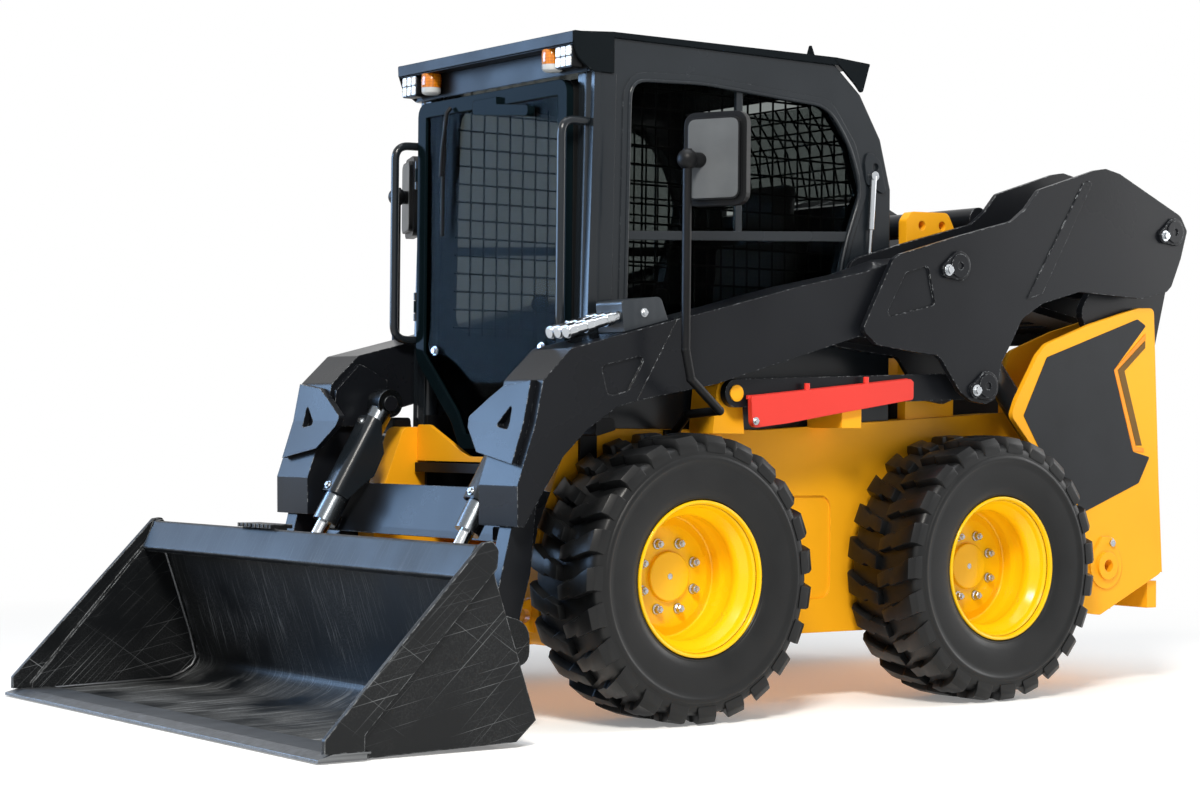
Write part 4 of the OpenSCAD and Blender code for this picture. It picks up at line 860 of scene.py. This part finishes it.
# Bucket welds: a fillet bead of bare steel runs down each side plate where it meets the bent
# back and floor, swept along the back's own line.
bead_line = [(1795, 21), (1600, 26), (1460, 30), (1400, 34), (1352, 50), (1322, 70), (1308, 95), (1330, 176),
             (1380, 322), (1424, 448)]
bucket_inside = 919
beads = [side_loop(bead_line, side * bucket_inside) for side in (1, -1)]
wire_piece("bucket_weld_beads", beads, worn_steel, "bucket", "edge_steel", radius=0.0055, sides=8)


# Pillar skins: bent sheet wraps each front pillar and carries on into the cab's side, with a
# full round at the corner that shows one long highlight. The round leans back with the cab.
corner_x, corner_y, corner_r = 736, 428.5, 44
pillar_foot = 844
pillar_lean = 18 / 1142
inner_edge_y = 399
side_run = 43
skin_foot, skin_head = 846, 1884
skin_mm = 2.5


def pillar_ring(z, thin):
    x = corner_x - pillar_lean * (z - pillar_foot)
    r = corner_r - thin
    bent = [(x + r * math.cos(a), corner_y + r * math.sin(a)) for a in quarter]
    return [at(*p, z) for p in [(x + r, inner_edge_y), *bent, (x - side_run, corner_y + r)]]


pillar_rings = [[pillar_ring(z, thin) for thin in (0, skin_mm)] for z in (skin_foot, skin_head)]
pillar_mesh = bent_sheets("pillar_skins", pillar_rings)
piece("front_pillar_skins", pillar_mesh, cab_enamel, "chassis", "charcoal_paint", crease=40)


# Window lips: the cab side is rolled outwards round each side window into a bead that wears the
# cab's paint and catches a line of light.
lip_y = 473.5
lips = [side_loop(window_outline, side * lip_y, radius=60) for side in (1, -1)]
wire_piece("side_window_lips", lips, cab_enamel, "chassis", "charcoal_paint", radius=0.0065, sides=10,
           closed=True)


# Cab struts: plated gas springs between painted plates; the springs stand proud of the plates,
# so one finish changes over at their side.
strut_finish, tree, place = new_finish("plated_springs_on_painted_plates")
plate_side = 0.4783
edge_mm = 2
apart = add(tree, "ShaderNodeSeparateXYZ", {0: place})
off_middle = add(tree, "ShaderNodeMath", {0: apart.outputs["Y"]}, operation="ABSOLUTE")
proud = add(tree, "ShaderNodeMath", {0: off_middle, 1: plate_side}, operation="GREATER_THAN")
rounding = add(tree, "ShaderNodeBevel", {"Radius": edge_mm / 1000}, samples=4)
base = add(tree, "ShaderNodeMix", {0: proud, 6: tint("#1C2126"), 7: tint("#B8BCC0")}, data_type="RGBA")
dull = add(tree, "ShaderNodeMix", {0: proud, 2: 0.3, 3: 0.16}, data_type="FLOAT")
shade_with(tree, {"Base Color": base.outputs[2], "Metallic": proud, "Roughness": dull, "Normal": rounding,
                  "Specular IOR Level": 0.2})
dress(strut_finish, "gas_struts")


# Hood side rails: a dark plate on edge along each side of the engine hood, between the hood and the arm, with
# rounded upper corners; welded to the hood's top edge. The plate fills the gap where the rear link and the
# engine bay lie in shade, so its dark colour is partly painted shade.
rail_outline = [(-1390, 1214), (-1002, 1284), (-760, 1289), (-790, 1366), (-1010, 1372), (-1350, 1312)]
rail_y = 440
rail_thick = 0.010
shade_filling_rails = [(side_loop(rail_outline, rail_y, radius=24), (0, rail_thick, 0))]
shade_filling_rail_mesh = slabs("hood_shade_filling_rails", shade_filling_rails, bevel=0.002)
piece("hood_side_shade_filling_rails", shade_filling_rail_mesh, charcoal_enamel, "chassis", "charcoal_paint", crease=40)


# Visor lining: thin black mouldings line the roof visor's front and underside and the header behind the lamps,
# glued flat to the steel. Their black is partly the mouldings' own colour and partly painted shade for the
# shade under the visor.
def oblong(a0, b0, a1, b1):
    return [(a0, b0), (a1, b0), (a1, b1), (a0, b1)]


def front_loop(outline, x):
    return [at(x, y, z) for y, z in outline]


visor_front, header_front, visor_under = 838.4, 775.4, 1957.6
visor_black_and_shade_lining = [(front_loop(oblong(-476, 1962, 476, 1995), visor_front), (0.0018, 0, 0)),
          (front_loop(oblong(-462, 1886, 462, 1988), header_front), (0.0020, 0, 0)),
          ([at(x, y, visor_under) for x, y in oblong(790, -470, 836, 470)], (0, 0, 0.0020))]
shade_lining_mesh = slabs("visor_black_and_shade_lining", visor_black_and_shade_lining, sides=(1,))
piece("visor_lining_and_painted_shade", shade_lining_mesh, black_plastic, "chassis", "black_plastic", crease=30)


# Door seal: an extruded rubber section pressed round the door opening, between pillars and door.
# It is a ring with a square section, set in from the opening's rounded outline.
door_outline = [(-150, 776), (150, 776), (200, 860), (405, 1056), (405, 1868), (-405, 1868), (-405, 1056),
                (-200, 860)]
seal_rubber = moulding("extruded_seal_rubber", "#0A0B0C", roughness=0.55, grain_mm=5, depth=0.2)


def ring_wall(outline, inset, x0, x1, radius):
    outer = rounded(outline, radius)
    count = len(outer)
    middle = Vector((0, sum(p[1] for p in outline) / len(outline)))
    work = bmesh.new()
    loops = []
    for inward, x in ((0, x0), (0, x1), (inset, x1), (inset, x0)):
        loop = []
        for i, p in enumerate(outer):
            along_edge = (outer[(i + 1) % count] - outer[i - 1]).normalized()
            normal = Vector((along_edge.y, -along_edge.x))
            if normal.dot(p - middle) < 0:
                normal = -normal
            loop.append(work.verts.new(at(x, *(p - normal * inward))))
        loops.append(loop)
    for one, two in zip(loops, loops[1:] + loops[:1]):
        for i in range(count):
            j = (i + 1) % count
            work.faces.new((one[i], one[j], two[j], two[i]))
    return to_mesh(work, "ring")


seal = ring_wall(door_outline, inset=18, x0=752, x1=783.2, radius=40)
piece("door_seal", seal, seal_rubber, "chassis", "black_plastic", crease=40)


# Wiper: a flat sprung blade of black plastic with its arm, parked upright at the door's right
# edge. Both are swept bars, and bolts hold the door's corners.
blade_steps = [i / 12 for i in range(13)]
blade_line = [at(817 + 3 * math.sin(math.pi * t), -233 - 11 * t, 1801 - 362 * t) for t in blade_steps]
arm_line = [at(*p) for p in ((815, -205, 1838), (828, -208, 1822), (831, -226, 1720), (829, -238, 1625))]
wire_piece("door_wiper", [blade_line, arm_line], black_plastic, "door", "black_plastic", radius=0.0065, sides=8)
bolts("door_bolts", "door", [at(808.8, 291, 1082)], (1, 0, 0), size=0.010, height=0.008)


# Grab handles: round steel tube with swept bends, in the cab's paint, welded to the front
# pillars at both ends.
def swept(corners, radius, steps=8):
    points = [Vector(corners[0])]
    for before, corner, after in zip(corners, corners[1:], corners[2:]):
        here = Vector(corner)
        first = here + (Vector(before) - here).normalized() * radius
        last = here + (Vector(after) - here).normalized() * radius
        points += bend_points(first, here, last, steps)
    return points + [Vector(corners[-1])]


handle_line = swept([(775.5, 446, 1119), (862, 454, 1120), (862, 454, 1739), (763.5, 446, 1740)], radius=48)
handle_lines = [[at(p.x, side * p.y, p.z) for p in handle_line] for side in (1, -1)]
handles = wire_piece("swept_grab_handles", handle_lines, cab_enamel, "chassis", "black_plastic",
                     radius=0.013, sides=20)
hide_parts("grab_handles")


# Mirrors: the glass let into each moulded mirror head is drawn as a satin grey plate, whose grey stands in for
# what the mirror reflects: a painted reflection. It is turned with the head and stands just proud of its face.
# Painted reflection: the plate's grey replaces the mirror glass and what it would reflect.
painted_reflection_grey = moulding("satin_grey_painted_mirror_reflection", "#56595C", roughness=0.4, grain_mm=8, depth=0.1)
mirror_lean = math.radians(23.8)
mirror_at = Vector((577, 813))
mirror_face = 16.1
plate_thick = 0.0015
mirror_out = Vector((math.cos(mirror_lean), math.sin(mirror_lean)))
mirror_along = Vector((-mirror_out.y, mirror_out.x))
plate_loop = [at(*(mirror_at + mirror_out * mirror_face + mirror_along * p.x), p.y)
              for p in rounded(oblong(-80, 1501, 80, 1727), radius=24)]
plate_mesh = slabs("mirror_plates", [(plate_loop, (*(mirror_out * plate_thick), 0))])
piece("mirror_plates", plate_mesh, painted_reflection_grey, "chassis", "edge_steel", crease=25)


# Work lamps: a moulded black housing under the visor with six bright reflector cells, three
# across and two high, let into its front.
lamp_outline = rounded(oblong(378, 1892, 464, 1960), radius=12)
lamp_back, lamp_deep = 796, 0.036
cell_back, cell_deep = 831.5, 0.004
cell_from, cell_pitch, cell_size = (382.5, 1896.5), (26.5, 30.5), (24, 28.5)
housing = slabs("lamp_housings", [(front_loop(lamp_outline, lamp_back), (lamp_deep, 0, 0))], bevel=0.003)
housings = piece("work_lamp_housings", housing, black_plastic, "chassis", "black_plastic", crease=35)
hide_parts("work_lamps")
cells = []
for column in range(3):
    for row in range(2):
        y, z = cell_from[0] + cell_pitch[0] * column, cell_from[1] + cell_pitch[1] * row
        cell = rounded(oblong(y, z, y + cell_size[0], z + cell_size[1]), radius=6, steps=3)
        cells.append((front_loop(cell, cell_back), (cell_deep, 0, 0)))
cell_mesh = slabs("lamp_cells", cells, bevel=0.0015)
piece("work_lamp_cells", cell_mesh, clear_lens, "chassis", "lamp_clear", crease=35)


# Amber lamps: a ribbed dome of amber plastic over a pale moulded base, hung under the visor
# beside each work lamp. Both are turned about an upright axis.
amber_x, amber_y = 808, 330


def upright_lathe(name, profile, sides, rib=0.0):
    work = bmesh.new()
    for side in (1, -1):
        rings = []
        for i in range(sides):
            a = 2 * math.pi * i / sides
            swell = 1 + (rib if i % 2 else 0.0)
            out_x, out_y = swell * math.cos(a), swell * math.sin(a)
            rings.append([work.verts.new(at(amber_x + r * out_x, side * (amber_y + r * out_y), z))
                          for r, z in profile])
        for one, two in zip(rings, rings[1:] + rings[:1]):
            for j in range(len(profile) - 1):
                work.faces.new((one[j], one[j + 1], two[j + 1], two[j]))
        work.faces.new([ring[0] for ring in rings])
        work.faces.new([ring[-1] for ring in rings])
    return to_mesh(work, name)


dome_profile = [(30, 1913), (32, 1917), (33, 1938), (31.5, 1956), (28, 1959.5)]
dome_mesh = upright_lathe("amber_domes", dome_profile, sides=40, rib=-0.03)
domes = piece("amber_domes", dome_mesh, amber_lens, "chassis", "lamp_amber", crease=50)
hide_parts("amber_lamps")
base_profile = [(22, 1893), (29, 1897), (31, 1903), (31, 1913.5)]
lamp_base = moulding("pale_grey_moulding", "#B9BCBE", roughness=0.35, grain_mm=4, depth=0.1)
base_mesh = upright_lathe("amber_bases", base_profile, sides=32)
piece("amber_lamp_bases", base_mesh, lamp_base, "chassis", "lamp_clear", crease=40)


# Rear mesh: the same welded wire behind the rear window, bent to the window's line, with level
# wires laid across in front of the bent ones.
rear_line = [Vector(p) for p in ((-250, 1885), (-349, 1756), (-391, 1604))]
rear_half = 345
rear_from, rear_pitch, rear_count = -324, 54, 13
rear_levels = 8
bent_gap, level_gap = 4, 10
rear_wires = []
for i in range(rear_count):
    rear_wires.append([at(p.x + bent_gap, rear_from + rear_pitch * i, p.y) for p in rear_line])
for i in range(rear_levels):
    along_line = 2 * i / (rear_levels - 1)
    k = min(1, int(along_line))
    spot = rear_line[k].lerp(rear_line[k + 1], along_line - k)
    rear_wires.append([at(spot.x + level_gap, y, spot.y) for y in (-rear_half, rear_half)])
wire_piece("rear_window_mesh", rear_wires, black_plastic, "chassis", "black_plastic", radius=mesh_wire_r,
           sides=6)


# Seat: three foam pads in black vinyl on a steel pan, blown out by their filling and held in
# by the cover. Each pad is an outline in side view and half its width, in mm.
seat_vinyl, tree, place = new_finish("stitched_black_vinyl")
grain_mm, crease_mm = 5, 120
grain = add(tree, "ShaderNodeTexVoronoi", {"Vector": place, "Scale": 1000 / grain_mm})
crease = add(tree, "ShaderNodeTexNoise", {"Vector": place, "Scale": 1000 / crease_mm, "Detail": 5.0})
base = add(tree, "ShaderNodeMix", {0: crease, 6: tint("#141516"), 7: tint("#222426")}, data_type="RGBA")
dull = add(tree, "ShaderNodeMapRange", {"Value": crease, "To Min": 0.4, "To Max": 0.62})
surface = add(tree, "ShaderNodeBump", {"Strength": 0.3, "Distance": 0.001, "Height": grain.outputs["Distance"]})
shade_with(tree, {"Base Color": base.outputs[2], "Roughness": dull, "Normal": surface, "Sheen Weight": 0.1})
pads = {"seat_cushion": ([(-240, 890), (242, 890), (258, 955), (232, 1000), (-174, 976)], 230),
        "seat_backrest": ([(-268, 900), (-250, 900), (-190, 988), (-248, 1470), (-322, 1478)], 210),
        "seat_headrest": ([(-322, 1494), (-252, 1488), (-268, 1650), (-328, 1650)], 130)}
pad_corner = 26
pad_bevel = 0.014
pad_voxel = 0.014
swell_pressure = 4.0
swell_frames = 20
swell_cap = 0.012


def frozen(thing):
    shape = bpy.data.meshes.new_from_object(thing.evaluated_get(bpy.context.evaluated_depsgraph_get()))
    thing.modifiers.clear()
    return shape


for name, (outline, half_width) in pads.items():
    block = [(side_loop(outline, -half_width, pad_corner), (0, 2 * half_width / 1000, 0))]
    pad = bpy.data.objects.new(name, slabs(name, block, pad_bevel, sides=(1,)))
    bpy.context.collection.objects.link(pad)
    remesh = pad.modifiers.new("even", "REMESH")
    remesh.mode = "VOXEL"
    remesh.voxel_size = pad_voxel
    pad.data = frozen(pad)
    rest = [v.co.copy() for v in pad.data.vertices]
    cloth = pad.modifiers.new("foam", "CLOTH")
    cloth.settings.use_pressure = True
    cloth.settings.uniform_pressure_force = swell_pressure
    cloth.settings.effector_weights.gravity = 0.0
    for step in range(1, swell_frames + 1):
        bpy.context.scene.frame_set(step)
    blown = frozen(pad)
    bpy.context.scene.frame_set(1)
    for vertex, start_at in zip(blown.vertices, rest):
        moved = vertex.co - start_at
        if moved.length > swell_cap:
            vertex.co = start_at + moved.normalized() * swell_cap
    pad.data = blown
    pad.data.materials.clear()
    pad.data.materials.append(seat_vinyl)
    pad.data.shade_smooth()
    soften = pad.modifiers.new("soften", "SUBSURF")
    soften.levels = soften.render_levels = 1
    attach(pad, "chassis")
    if name == "seat_cushion":
        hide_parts("seat")

size = {"cad": cad_box, "visual": [list(corner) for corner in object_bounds()]}
